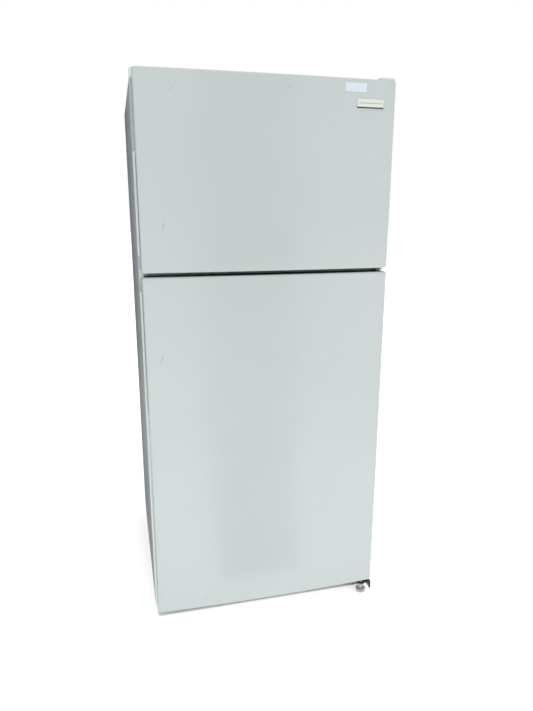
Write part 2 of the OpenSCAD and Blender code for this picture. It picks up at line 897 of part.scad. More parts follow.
box_x = fresh_dike[0] - dike_w - 1;

module dairy_box() {
    y = [door_back_y + 0.5, lid_axis[0] + 6];
    color("white") {
        box([-box_x, box_x], y, [dairy_z[0], dairy_z[0] + 3]);
        for (s = [-1, 1])
            difference() {
                box([s > 0 ? box_x - 4 : -box_x, s > 0 ? box_x : -box_x + 4], y,
                    [dairy_z[0], dairy_z[1]]);
                pin_x([-box_x - 1, box_x + 1], lid_axis[0], lid_axis[1], lid_pin_r + run_fit);
            }
    }
}

module dairy_lid() {
    color([0.85, 0.92, 0.95, 0.5]) {
        box([-box_x + 4.5, box_x - 4.5], [lid_axis[0] - 1.2, lid_axis[0] + 1.2],
            [dairy_z[0] + 4, lid_axis[1]]);
        pin_x([-box_x + 0.5, box_x - 0.5], lid_axis[0], lid_axis[1], lid_pin_r);
        box([-60, 60], [lid_axis[0] + 1.2, lid_axis[0] + 8], [dairy_z[0] + 8, dairy_z[0] + 11]);
    }
}

cabinet_shell();
cabinet_back();
base_pan();
cabinet_foam();
freezer_liner();
fresh_food_liner();
front_rails();
top_hinge();
top_hinge_cover();
centre_hinge();
bottom_hinge();
hinge_screws();
hinge_hole_cover();
toe_grille();
roller_brackets();
compressor();
condenser();
condenser_fan_motor();
drain_pan();
rear_cover();
evaporator();
evaporator_cover();
evaporator_fan_motor();
control_housing();
light_lens();
light_bulb();
light_switch();
shelf_frames();
shelf_glass();
crisper_cover();
freezer_shelf();
leg_left();
leg_right();
roller_left();
roller_right();
condenser_fan();
evaporator_fan();
freezer_knob();
fridge_knob();
switch_plunger();
crisper_left();
crisper_right();
freezer_door_skin();
freezer_door_foam();
freezer_door_liner();
freezer_door_gasket();
freezer_door_caps();
freezer_grip();
freezer_door_bins();
badge_plate();
paper_label();
fridge_door_skin();
fridge_door_foam();
fridge_door_liner();
fridge_door_gasket();
fridge_door_caps();
fridge_grip();
fridge_door_bins();
dairy_box();
dairy_lid();
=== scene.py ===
"""A white top freezer refrigerator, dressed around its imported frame.

Every length is in metres. Places come from the frame's nodes, so a piece goes where its node is.
"""
import json
import math

import bmesh
import bpy
from mathutils import Matrix, Vector, noise


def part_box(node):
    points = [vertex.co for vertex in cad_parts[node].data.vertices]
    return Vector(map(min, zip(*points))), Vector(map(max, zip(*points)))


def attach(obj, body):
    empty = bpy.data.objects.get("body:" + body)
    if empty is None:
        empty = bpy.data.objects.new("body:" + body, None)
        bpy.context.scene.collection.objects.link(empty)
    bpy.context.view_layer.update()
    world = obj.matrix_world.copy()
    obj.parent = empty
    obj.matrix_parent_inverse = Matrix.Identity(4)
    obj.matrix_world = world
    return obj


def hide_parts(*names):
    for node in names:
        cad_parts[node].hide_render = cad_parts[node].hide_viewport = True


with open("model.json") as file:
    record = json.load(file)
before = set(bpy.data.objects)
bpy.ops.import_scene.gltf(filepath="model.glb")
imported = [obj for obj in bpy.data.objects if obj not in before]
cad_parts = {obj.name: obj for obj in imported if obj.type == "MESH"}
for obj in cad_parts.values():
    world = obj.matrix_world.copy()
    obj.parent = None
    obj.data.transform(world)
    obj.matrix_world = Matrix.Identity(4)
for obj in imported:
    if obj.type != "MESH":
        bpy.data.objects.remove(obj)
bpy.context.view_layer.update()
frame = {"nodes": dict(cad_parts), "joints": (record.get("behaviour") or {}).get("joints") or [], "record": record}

bl_info = {
    "name": "Top freezer refrigerator",
    "version": (1, 0, 0),
    "blender": (4, 5, 0),
    "location": "3D View > Sidebar > Refrigerator",
    "description": "Builds the skins, linings, fittings and finishes of a two door refrigerator",
    "category": "Object",
}

MM = 0.001
SMOOTH = math.radians(35)     # edges sharper than this stay crisp
WELD = 0.002 * MM             # points closer than this are one
LINER_WALL = 2 * MM
RETURN = 16 * MM              # how far the door steel folds in over the door's back
POCKET_FRONT = 8.5 * MM       # from the edge of the face to the finger pocket
POCKET_REAR = 8 * MM          # from the door's back to the finger pocket
DOORS = ("freezer", "fridge")
NODES = frame["nodes"]
SLOT = {part["node"]: part["material_slot"] for part in frame["record"]["subparts"]}
BODY = {node: body for body, nodes in frame["record"]["behaviour"]["bodies"].items() for node in nodes}


# ---------------------------------------------------------------- sizes and colours


def length(name, description, default):
    return bpy.props.FloatProperty(name=name, description=description, default=default, unit="LENGTH")


def colour(name, description, default):
    return bpy.props.FloatVectorProperty(
        name=name, description=description, default=default, subtype="COLOR", size=3, min=0, max=1)


class FridgeSizes(bpy.types.PropertyGroup):
    """Sizes that shape the looks. The frame fixes everything else."""

    crown: length("Face crown", "How far the middle of a door's face stands forward", 8 * MM)
    edge_radius: length("Vertical edge radius", "Rounding of a door's front vertical edges", 10 * MM)
    rear_radius: length("Rear edge radius", "Rounding of a door's rear vertical edges", 8 * MM)
    end_radius: length("End edge radius", "Rounding of a door's top and bottom edges", 7 * MM)
    waviness: length("Panel waviness", "Depth of the shallow waves in the door steel", 0.35 * MM)
    sheet: length("Sheet", "Thickness of the painted steel", 0.8 * MM)
    bend: length("Cabinet bend", "Radius of the folds of the cabinet sheet", 2 * MM)
    flange: length("Cabinet flange", "Width of the fold around the cabinet front", 29 * MM)
    mouth: length("Mouth radius", "Rounding where a liner turns into its compartment", 6 * MM)
    corner: length("Compartment corner", "Rounding of the moulded compartments", 25 * MM)
    dike: length("Dike width", "Width of the raised rim inside a door", 28 * MM)


class FridgeColours(bpy.types.PropertyGroup):
    """Colours that a user would change."""

    # Greyer and more cyan than white paint: painted shade and a painted blue cast of skylight on white enamel.
    enamel: colour("Door enamel and painted shade", "Paint of the doors", (0.448, 0.493, 0.488))
    # Darker and bluer than white paint: painted shade on the cabinet's left side and a painted reflection of blue
    # sky.
    cabinet: colour("Cabinet enamel and painted shade", "Paint of the cabinet", (0.455, 0.49, 0.495))
    plastic: colour("White plastic", "Grips, caps and covers", (0.64, 0.675, 0.67))
    liner: colour("Liner plastic", "Moulded compartments", (0.68, 0.70, 0.695))
    badge: colour("Badge", "Plate on the freezer door", (0.60, 0.62, 0.56))
    stripe: colour("Badge stripe", "Dark edge of the badge", (0.03, 0.02, 0.026))
    label: colour("Label", "Paper stuck above the badge", (0.59, 0.65, 0.70))


def sizes():
    return bpy.context.scene.fridge_sizes


def colours():
    return bpy.context.scene.fridge_colours


# ---------------------------------------------------------------- shader maths


class Number:
    """A shader number. Sums and products of it add the Math nodes that work them out."""

    def __init__(self, graph, socket):
        self.graph = graph
        self.socket = socket

    def math(self, operation, *operands):
        node = self.graph.node("ShaderNodeMath", {"operation": operation}, dict(enumerate(operands)))
        return Number(self.graph, node.outputs[0])

    def __add__(self, other):
        return self.math("ADD", self, other)

    def __radd__(self, other):
        return self.math("ADD", other, self)

    def __sub__(self, other):
        return self.math("SUBTRACT", self, other)

    def __rsub__(self, other):
        return self.math("SUBTRACT", other, self)

    def __mul__(self, other):
        return self.math("MULTIPLY", self, other)

    def __rmul__(self, other):
        return self.math("MULTIPLY", other, self)

    def __abs__(self):
        return self.math("ABSOLUTE", self)

    def ramp(self, low, high, out_low=0.0, out_high=1.0):
        """Stretches low..high to out_low..out_high and holds the ends."""
        node = self.graph.node("ShaderNodeMapRange", {"clamp": True},
                               {0: self, 1: low, 2: high, 3: out_low, 4: out_high})
        return Number(self.graph, node.outputs[0])


class Graph:
    """A material's nodes, with one way to add a node."""

    def __init__(self, name):
        self.material = bpy.data.materials.new(name)
        self.material.use_nodes = True
        self.tree = self.material.node_tree
        self.shader = self.tree.nodes["Principled BSDF"]
        self.place = self.node("ShaderNodeTexCoord").outputs["Object"]
        self.split = self.node("ShaderNodeSeparateXYZ", {}, {0: self.place})

    def node(self, kind, settings=None, inputs=None):
        node = self.tree.nodes.new(kind)
        for key, value in (settings or {}).items():
            setattr(node, key, value)
        for key, value in (inputs or {}).items():
            self.put(node.inputs[key], value)
        return node

    def put(self, socket, value):
        if isinstance(value, Number):
            value = value.socket
        if isinstance(value, bpy.types.NodeSocket):
            self.tree.links.new(value, socket)
        elif socket.type == "RGBA" and len(value) == 3:
            socket.default_value = (*value, 1.0)
        else:
            socket.default_value = value

    def axis(self, letter):
        return Number(self, self.split.outputs[letter])

    def noise(self, scale, detail=2.0, stretch=None):
        place = self.place
        if stretch:
            place = self.node("ShaderNodeMapping", {}, {"Vector": place, "Scale": stretch}).outputs[0]
        node = self.node("ShaderNodeTexNoise", {}, {"Vector": place, "Scale": scale, "Detail": detail})
        return Number(self, node.outputs[0])

    def cells(self, scale, output="Distance"):
        node = self.node("ShaderNodeTexVoronoi", {}, {"Vector": self.place, "Scale": scale})
        return Number(self, node.outputs[output])

    def tint(self, factor, first, second):
        """The colour between two colours; Mix keeps its colour sockets at 6, 7 and output 2."""
        node = self.node("ShaderNodeMix", {"data_type": "RGBA"}, {0: factor, 6: first, 7: second})
        return node.outputs[2]

    def feed(self, **inputs):
        for key, value in inputs.items():
            self.put(self.shader.inputs[INPUTS[key]], value)

    def bump(self, height, depth):
        node = self.node("ShaderNodeBump", {}, {"Height": height, "Distance": depth})
        self.feed(normal=node.outputs[0])


INPUTS = {
    "base": "Base Color", "roughness": "Roughness", "metallic": "Metallic", "coat": "Coat Weight",
    "coat_roughness": "Coat Roughness", "alpha": "Alpha", "normal": "Normal", "ior": "IOR",
    "transmission": "Transmission Weight", "emission": "Emission Color", "glow": "Emission Strength",
    "specular": "Specular IOR Level",
}


def dimmed(tone, factor):
    return tuple(channel * factor for channel in tone)


# ---------------------------------------------------------------- finishes


def surface(name, tone, variation, rough, grain, depth, patch=4.0, **constants):
    """A finish whose colour drifts over patches and whose grain lifts it by depth."""
    graph = Graph(name)
    drift = graph.noise(patch, 3.0)
    fine = graph.noise(grain, 2.0)
    graph.feed(
        base=graph.tint(drift.ramp(0.3, 0.7), dimmed(tone, 1 - variation), tone),
        roughness=(drift * 0.5 + fine * 0.5).ramp(0.25, 0.75, *rough),
        **constants)
    graph.bump(fine, depth)
    return graph


def scuff(graph, x, z, reach, angle, width=1.9 * MM):
    """How much of a faint rubbed mark lies at a point: 1 along its middle, 0 off it."""
    turn, lift = math.cos(angle), math.sin(angle)
    dx = graph.axis("X") - x
    dz = graph.axis("Z") - z
    along = abs(dx * turn + dz * lift).ramp(0.4 * reach, reach, 1.0, 0.0)
    across = abs(dz * turn - dx * lift).ramp(0.2 * width, width, 1.0, 0.0)
    return along * across


DOOR_MARKS = (     # x, z, half length, angle: rubs and smudges of use
    (-0.310, 1.290, 0.022, 1.5), (-0.270, 1.650, 0.020, 0.9), (0.050, 1.660, 0.010, 0.2),
    (-0.330, 0.900, 0.025, 1.2), (-0.265, 0.810, 0.006, 0.4), (0.080, 0.890, 0.012, 2.4),
    (0.010, 0.980, 0.010, 0.7), (0.290, 0.055, 0.003, 0.0), (-0.220, 0.080, 0.018, 0.1),
)


def door_paint():
    # The enamel tone carries painted shade and a painted blue cast of skylight.
    tone = colours().enamel
    graph = Graph("Door enamel and painted shade")
    cloud = graph.noise(2.2, 3.0)
    peel = graph.noise(260.0, 1.5)
    dust = graph.noise(900.0, 2.0)
    marks = 0.0
    for mark in DOOR_MARKS:
        marks = scuff(graph, *mark) + marks
    marks = marks * graph.noise(120.0, 3.0).ramp(0.35, 0.65)
    clean = graph.tint(cloud.ramp(0.3, 0.7), dimmed(tone, 0.965), tone)
    graph.feed(
        base=graph.tint(marks.ramp(0.0, 0.7, 0.0, 0.6), clean, dimmed(tone, 0.5)),
        roughness=(cloud * 0.6 + dust * 0.4).ramp(0.3, 0.7, 0.24, 0.36) + marks * 0.2,
        coat=cloud.ramp(0.2, 0.8, 0.25, 0.4), coat_roughness=0.12)
    graph.bump(peel, 0.035 * MM)
    return graph


def white_steel():
    # The tone carries painted shade on the left side and a painted reflection of blue sky.
    tone = colours().cabinet
    return surface("Cabinet enamel and painted shade", tone, 0.05, (0.26, 0.38), 330.0, 0.06 * MM, 2.5, coat_roughness=0.2)


def back_steel():
    return surface("Back sheet", (0.47, 0.49, 0.49), 0.10, (0.34, 0.52), 420.0, 0.05 * MM, 6.0)


def galvanised_steel():
    graph = Graph("Galvanised steel")
    spangle = graph.cells(95.0, "Color")
    scratch = graph.noise(60.0, 3.0, (1.0, 14.0, 1.0))
    tone = graph.tint(spangle.ramp(0.2, 0.8), (0.42, 0.44, 0.45), (0.60, 0.62, 0.63))
    graph.feed(base=tone, metallic=0.9, roughness=(spangle * 0.5 + scratch * 0.5).ramp(0.2, 0.8, 0.28, 0.5))
    graph.bump(scratch, 0.03 * MM)
    return graph


def zinc_steel():
    return surface("Zinc plated steel", (0.50, 0.51, 0.52), 0.18, (0.24, 0.42), 700.0, 0.03 * MM, 40.0,
                   metallic=0.95)


def black_steel():
    return surface("Black painted steel", (0.022, 0.022, 0.024), 0.3, (0.30, 0.5), 500.0, 0.05 * MM, 20.0)


def leg_steel():
    return surface("Leg steel", (0.50, 0.495, 0.47), 0.28, (0.30, 0.55), 600.0, 0.05 * MM, 60.0,
                   metallic=0.6)


def coil_aluminium():
    return surface("Coil aluminium", (0.62, 0.63, 0.64), 0.15, (0.28, 0.45), 500.0, 0.03 * MM, 30.0,
                   metallic=0.95)


def dark_coil():
    return surface("Dark coil", (0.06, 0.06, 0.062), 0.35, (0.45, 0.7), 400.0, 0.06 * MM, 18.0)


def liner_plastic():
    return surface("Liner plastic", colours().liner, 0.03, (0.30, 0.42), 240.0, 0.05 * MM, 3.0)


def white_plastic():
    return surface("White plastic", colours().plastic, 0.04, (0.32, 0.46), 500.0, 0.04 * MM, 12.0)


def dark_plastic():
    return surface("Dark plastic", (0.07, 0.07, 0.072), 0.25, (0.42, 0.62), 450.0, 0.06 * MM, 20.0)


def painted_gap_shade():
    """Dark grey for the caps that face each other across the gap between the doors: painted shade of the gap."""
    return surface("Painted gap shade", (0.055, 0.058, 0.06), 0.15, (0.45, 0.62), 450.0, 0.05 * MM, 18.0)


def frosted_plastic():
    return surface("Frosted plastic", (0.86, 0.86, 0.80), 0.04, (0.35, 0.5), 500.0, 0.05 * MM, 25.0,
                   transmission=0.55, ior=1.49)


def clear_plastic():
    return surface("Clear plastic", (0.84, 0.90, 0.92), 0.04, (0.06, 0.18), 220.0, 0.03 * MM, 8.0,
                   alpha=0.38)


def gasket_vinyl():
    return surface("Gasket vinyl", (0.50, 0.51, 0.51), 0.12, (0.45, 0.62), 380.0, 0.05 * MM, 15.0)


def shelf_glass():
    return surface("Shelf glass", (0.70, 0.86, 0.80), 0.03, (0.02, 0.07), 90.0, 0.01 * MM, 5.0,
                   alpha=0.3)


def bulb_glass():
    return surface("Bulb glass", (0.93, 0.91, 0.84), 0.04, (0.15, 0.3), 300.0, 0.02 * MM, 40.0,
                   transmission=0.4, ior=1.5)


def foam():
    graph = Graph("Insulation foam")
    bubbles = graph.cells(420.0)
    graph.feed(base=graph.tint(bubbles.ramp(0.0, 0.6), (0.52, 0.42, 0.20), (0.70, 0.60, 0.36)),
               roughness=bubbles.ramp(0.0, 0.8, 0.75, 0.95))
    graph.bump(bubbles, 0.5 * MM)
    return graph


def wire_coating():
    return surface("Wire coating", (0.76, 0.77, 0.76), 0.05, (0.25, 0.38), 600.0, 0.04 * MM, 25.0)


def badge_metal():
    """The badge's face, with one plain darker line along its middle."""
    tone = colours().badge
    graph = surface("Badge plate", tone, 0.05, (0.28, 0.4), 800.0, 0.02 * MM, 60.0)
    low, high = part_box("badge_plate")
    middle, half = (low + high) / 2, (high.x - low.x) / 2
    line = abs(graph.axis("Z") - (middle.z + MM)).ramp(1.0 * MM, 1.8 * MM, 1.0, 0.0)
    ends = abs(graph.axis("X") - middle.x).ramp(half - 6 * MM, half - 5 * MM, 1.0, 0.0)
    graph.feed(base=graph.tint(line * ends, tone, dimmed(tone, 0.62)))
    return graph


def badge_stripe():
    return surface("Badge stripe", colours().stripe, 0.15, (0.25, 0.4), 800.0, 0.02 * MM, 80.0)


def label_paper():
    graph = Graph("Label paper")
    fibre = graph.noise(1300.0, 4.0, (1.0, 1.0, 2.6))
    tone = colours().label
    graph.feed(base=graph.tint(fibre.ramp(0.35, 0.65), dimmed(tone, 0.90), tone),
               roughness=fibre.ramp(0.3, 0.7, 0.75, 0.92))
    graph.bump(fibre, 0.05 * MM)
    return graph


FINISHES = {
    make.__name__: make for make in (
        door_paint, white_steel, back_steel, galvanised_steel, zinc_steel, black_steel, leg_steel,
        coil_aluminium, dark_coil, liner_plastic, white_plastic, dark_plastic, painted_gap_shade,
        frosted_plastic, clear_plastic, gasket_vinyl, shelf_glass, bulb_glass, foam, wire_coating,
        badge_metal, badge_stripe, label_paper)
}
MADE = {}


def finish(name):
    """The material of that finish, made the first time that it is asked for."""
    if name not in MADE:
        MADE[name] = FINISHES[name]().material
    return MADE[name]


# ---------------------------------------------------------------- mesh work


def to_mesh(shape, finish_name):
    """Turns a bmesh into a mesh that carries its finish."""
    mesh = bpy.data.meshes.new("part")
    shape.to_mesh(mesh)
    shape.free()
    mesh.materials.append(finish(finish_name))
    return mesh


def loft(rings, finish_name, closed=True, caps=(False, False), thickness=0.0, skip=None, looped=False):
    """Joins rings of equal length with quads. A positive thickness adds its wall against the normals.

    skip takes a ring's and a point's number, and says which quads are left open. looped joins the
    last ring to the first.
    """
    shape = bmesh.new()
    rows = [[shape.verts.new(point) for point in ring] for ring in rings]
    count = len(rings[0])
    if looped:
        rows.append(rows[0])
    for i in range(len(rows) - 1):
        for j in range(count if closed else count - 1):
            if skip and skip(i, j):
                continue
            k = (j + 1) % count
            shape.faces.new((rows[i][j], rows[i][k], rows[i + 1][k], rows[i + 1][j]))
    if caps[0]:
        shape.faces.new(list(reversed(rows[0])))
    if caps[1]:
        shape.faces.new(rows[-1])
    if thickness:
        shape.normal_update()
        bmesh.ops.solidify(shape, geom=shape.faces[:], thickness=thickness)
    if thickness or looped or all(caps):
        bmesh.ops.recalc_face_normals(shape, faces=shape.faces[:])
    return to_mesh(shape, finish_name)


def softened(node, radius, segments=2):
    """A node's own shape with its hard edges eased, its flat faces made whole first."""
    shape = bmesh.new()
    shape.from_mesh(NODES[node].data)
    bmesh.ops.remove_doubles(shape, verts=shape.verts[:], dist=WELD)
    bmesh.ops.dissolve_limit(
        shape, angle_limit=math.radians(0.5), verts=shape.verts[:], edges=shape.edges[:])
    hard = [e for e in shape.edges if len(e.link_faces) == 2 and e.calc_face_angle(0.0) > SMOOTH]
    if hard:
        bmesh.ops.bevel(shape, geom=hard, offset=radius, segments=segments, profile=0.5,
                        affect="EDGES", clamp_overlap=True)
    return to_mesh(shape, SLOT[node])


def islands(node):
    """(lowest corner, highest corner) of each separate solid of a node, lowest first."""
    shape = bmesh.new()
    shape.from_mesh(NODES[node].data)
    bmesh.ops.remove_doubles(shape, verts=shape.verts[:], dist=WELD)
    found = []
    left = set(shape.verts)
    while left:
        group, edge = [], [left.pop()]
        while edge:
            vert = edge.pop()
            group.append(vert.co.copy())
            for link in vert.link_edges:
                other = link.other_vert(vert)
                if other in left:
                    left.remove(other)
                    edge.append(other)
        found.append((Vector(map(min, *group)), Vector(map(max, *group))))
    shape.free()
    return sorted(found, key=lambda box: (box[0].z, box[0].x))


def block(low, high, radius, finish_name, segments=3):
    """A box between two corners with rounded edges."""
    shape = bmesh.new()
    bmesh.ops.create_cube(shape, size=1.0)
    low, high = Vector(low), Vector(high)
    for vert in shape.verts:
        vert.co = Vector(start + (share + 0.5) * (end - start)
                         for start, end, share in zip(low, high, vert.co))
    bmesh.ops.bevel(shape, geom=shape.edges[:], offset=radius, segments=segments, profile=0.5,
                    affect="EDGES", clamp_overlap=True)
    return to_mesh(shape, finish_name)


def lathe(profile, place, axis, finish_name, steps=48, lobes=0, depth=0.0):
    """Turns (radius, height) points around an axis through place. lobes flutes the rim by depth."""
    turn = Vector((0, 0, 1)).rotation_difference(Vector(axis)).to_matrix()
    rings = []
    for radius, height in profile:
        ring = []
        for i in range(steps):
            angle = math.tau * i / steps
            flute = depth * 0.5 * (1 - math.cos(lobes * angle)) if radius > 4 * depth else 0.0
            reach = radius - flute
            ring.append(Vector(place) + turn @ Vector(
                (reach * math.cos(angle), reach * math.sin(angle), height)))
        rings.append(ring)
    return loft(rings, finish_name, caps=(True, True))


def quarter(steps):
    """(1 - cos, 1 - sin) of evenly spaced angles from 0 to 90 degrees."""
    angles = [math.radians(90 / steps * i) for i in range(steps + 1)]
    return [(1 - math.cos(angle), 1 - math.sin(angle)) for angle in angles]


def rounded_rectangle(x, z, radius, y, steps=6):
    """Points of a rounded rectangle in front view at depth y, from its lower right corner up."""
    points = []
    for cx, cz, start in ((x[1] - radius, z[0] + radius, -90), (x[1] - radius, z[1] - radius, 0),
                          (x[0] + radius, z[1] - radius, 90), (x[0] + radius, z[0] + radius, 180)):
        for i in range(steps + 1):
            angle = math.radians(start + 90 * i / steps)
            points.append(Vector((cx + radius * math.cos(angle), y, cz + radius * math.sin(angle))))
    return points


def tube(points, radius, finish_name, sides=10):
    """A round tube along a path of points."""
    rings = []
    side = None
    for i, point in enumerate(points):
        ahead = points[min(i + 1, len(points) - 1)]
        behind = points[max(i - 1, 0)]
        along = (ahead - behind).normalized()
        if side is None:
            side = along.orthogonal().normalized()
        side = (side - along * side.dot(along)).normalized()
        other = along.cross(side)
        rings.append([point + radius * (side * math.cos(math.tau * k / sides)
                                        + other * math.sin(math.tau * k / sides))
                      for k in range(sides)])
    return loft(rings, finish_name, caps=(True, True))


def piece(name, meshes, *nodes):
    """Joins meshes into one object that rides its node's body and stands for the nodes."""
    shape = bmesh.new()
    materials = []
    for mesh in meshes:
        start = len(shape.faces)
        shape.from_mesh(mesh)
        shape.faces.ensure_lookup_table()
        material = mesh.materials[0]
        if material not in materials:
            materials.append(material)
        for face in shape.faces[start:]:
            face.material_index = materials.index(material)
            face.smooth = True
        bpy.data.meshes.remove(mesh)
    mesh = bpy.data.meshes.new(name)
    shape.to_mesh(mesh)
    shape.free()
    for material in materials:
        mesh.materials.append(material)
    mesh.set_sharp_from_angle(angle=SMOOTH)
    thing = bpy.data.objects.new(name, mesh)
    bpy.context.scene.collection.objects.link(thing)
    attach(thing, BODY[nodes[0]])
    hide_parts(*nodes)


def eased(radius, *nodes, segments=2):
    """Makes a softened piece of each node."""
    for node in nodes:
        piece(node + "_finished", [softened(node, radius, segments=segments)], node)


# ---------------------------------------------------------------- geometry nodes


class Tree:
    """A geometry node tree with named inputs that ends realized and with its material set."""

    def __init__(self, name, **inputs):
        self.group = bpy.data.node_groups.new(name, "GeometryNodeTree")
        face = self.group.interface
        face.new_socket("Geometry", in_out="INPUT", socket_type="NodeSocketGeometry")
        kinds = {**inputs, "Material": "NodeSocketMaterial"}
        self.keys = {
            label: face.new_socket(label, in_out="INPUT", socket_type=kind).identifier
            for label, kind in kinds.items()}
        face.new_socket("Geometry", in_out="OUTPUT", socket_type="NodeSocketGeometry")
        self.start = self.group.nodes.new("NodeGroupInput")

    def node(self, kind, settings=None, inputs=None):
        node = self.group.nodes.new(kind)
        for key, value in (settings or {}).items():
            setattr(node, key, value)
        for key, value in (inputs or {}).items():
            if isinstance(value, bpy.types.NodeSocket):
                self.group.links.new(value, node.inputs[key])
            else:
                node.inputs[key].default_value = value
        return node

    def given(self, label):
        return self.start.outputs[label]

    def repeat(self, points, shape, turn):
        """Puts the shape on every point, and closes the tree."""
        placed = self.node("GeometryNodeInstanceOnPoints", {},
                           {"Points": points, "Instance": shape, "Rotation": turn})
        real = self.node("GeometryNodeRealizeInstances", {}, {0: placed.outputs[0]})
        dressed = self.node("GeometryNodeSetMaterial", {},
                            {"Geometry": real.outputs[0], "Material": self.given("Material")})
        self.node("NodeGroupOutput", {}, {0: dressed.outputs[0]})
        return self

    def grow(self, finish_name, points=(), **values):
        """Runs the tree over points and gives its result as a plain mesh."""
        seed = bpy.data.meshes.new("seed")
        seed.from_pydata(points, [], [])
        host = bpy.data.objects.new("host", seed)
        bpy.context.scene.collection.objects.link(host)
        modifier = host.modifiers.new("Grow", "NODES")
        modifier.node_group = self.group
        modifier[self.keys["Material"]] = finish(finish_name)
        for label, value in values.items():
            modifier[self.keys[label]] = value
        ready = host.evaluated_get(bpy.context.evaluated_depsgraph_get())
        result = bpy.data.meshes.new_from_object(ready)
        bpy.data.objects.remove(host)
        bpy.data.meshes.remove(seed)
        return result


TREES = {}


def row(tree):
    return tree.node("GeometryNodeMeshLine", {"mode": "OFFSET"}, {
        "Count": tree.given("Count"), "Start Location": tree.given("First"),
        "Offset": tree.given("Step")}).outputs[0]


def bars_tree():
    """A row of round bars."""
    tree = Tree("Row of bars", Count="NodeSocketInt", First="NodeSocketVector",
                Step="NodeSocketVector", Radius="NodeSocketFloat", Length="NodeSocketFloat",
                Turn="NodeSocketVector")
    bar = tree.node("GeometryNodeMeshCylinder", {}, {
        "Vertices": 12, "Radius": tree.given("Radius"), "Depth": tree.given("Length")})
    return tree.repeat(row(tree), bar.outputs["Mesh"], tree.given("Turn"))


def plates_tree():
    """A row of flat plates, such as fins and slats."""
    tree = Tree("Row of plates", Count="NodeSocketInt", First="NodeSocketVector",
                Step="NodeSocketVector", Size="NodeSocketVector", Turn="NodeSocketVector")
    plate = tree.node("GeometryNodeMeshCube", {}, {"Size": tree.given("Size")})
    return tree.repeat(row(tree), plate.outputs["Mesh"], tree.given("Turn"))


def wheel_tree():
    """One template repeated evenly around the Z axis."""
    tree = Tree("Wheel", Count="NodeSocketInt", Template="NodeSocketObject")
    origin = tree.node("GeometryNodeMeshLine", {"mode": "OFFSET"},
                       {"Count": tree.given("Count"), "Offset": (0.0, 0.0, 0.0)})
    part = tree.node("ShaderNodeMath", {"operation": "DIVIDE"},
                     {0: tree.node("GeometryNodeInputIndex").outputs[0], 1: tree.given("Count")})
    angle = tree.node("ShaderNodeMath", {"operation": "MULTIPLY"}, {0: part.outputs[0], 1: math.tau})
    turn = tree.node("ShaderNodeCombineXYZ", {}, {"Z": angle.outputs[0]})
    shape = tree.node("GeometryNodeObjectInfo", {}, {"Object": tree.given("Template")})
    return tree.repeat(origin.outputs[0], shape.outputs["Geometry"], turn.outputs[0])


def scatter_tree():
    """One template at each given point, such as a screw."""
    tree = Tree("Template at points", Template="NodeSocketObject", Turn="NodeSocketVector")
    shape = tree.node("GeometryNodeObjectInfo", {}, {"Object": tree.given("Template")})
    return tree.repeat(tree.given("Geometry"), shape.outputs["Geometry"], tree.given("Turn"))


def tree_for(make):
    if make not in TREES:
        TREES[make] = make()
    return TREES[make]


def bars(finish_name, count, first, step, radius, reach, turn=(0.0, 0.0, 0.0)):
    return tree_for(bars_tree).grow(
        finish_name, Count=count, First=first, Step=step, Radius=radius, Length=reach, Turn=turn)


def plates(finish_name, count, first, step, size, turn=(0.0, 0.0, 0.0)):
    return tree_for(plates_tree).grow(
        finish_name, Count=count, First=first, Step=step, Size=size, Turn=turn)


def with_template(mesh, use):
    """Lends a mesh to a tree as an object, and takes it away afterwards."""
    template = bpy.data.objects.new("template", mesh)
    bpy.context.scene.collection.objects.link(template)
    result = use(template)
    bpy.data.objects.remove(template)
    bpy.data.meshes.remove(mesh)
    return result


def wheel(mesh, finish_name, count):
    return with_template(mesh, lambda template: tree_for(wheel_tree).grow(
        finish_name, Count=count, Template=template))


def scatter(mesh, finish_name, points, turn):
    return with_template(mesh, lambda template: tree_for(scatter_tree).grow(
        finish_name, points=points, Template=template, Turn=turn))


def screw_head(radius, height, finish_name):
    """A pan head with a cross recess, its seat at the origin and its top along +Z."""
    profile = [(0.1 * radius, -0.1 * MM), (0.55 * radius, -0.1 * MM), (0.55 * radius, 0.0), (radius, 0.0),
               (radius, 0.45 * height), (0.85 * radius, 0.8 * height), (0.5 * radius, height),
               (0.3 * radius, height), (0.18 * radius, 0.45 * height)]
    return lathe(profile, (0, 0, 0), (0, 0, 1), finish_name, steps=24, lobes=4, depth=0.12 * radius)


FACING = {"+Z": (0.0, 0.0, 0.0), "-Z": (math.pi, 0.0, 0.0), "-Y": (math.pi / 2, 0.0, 0.0),
          "+Y": (-math.pi / 2, 0.0, 0.0)}


# ---------------------------------------------------------------- doors


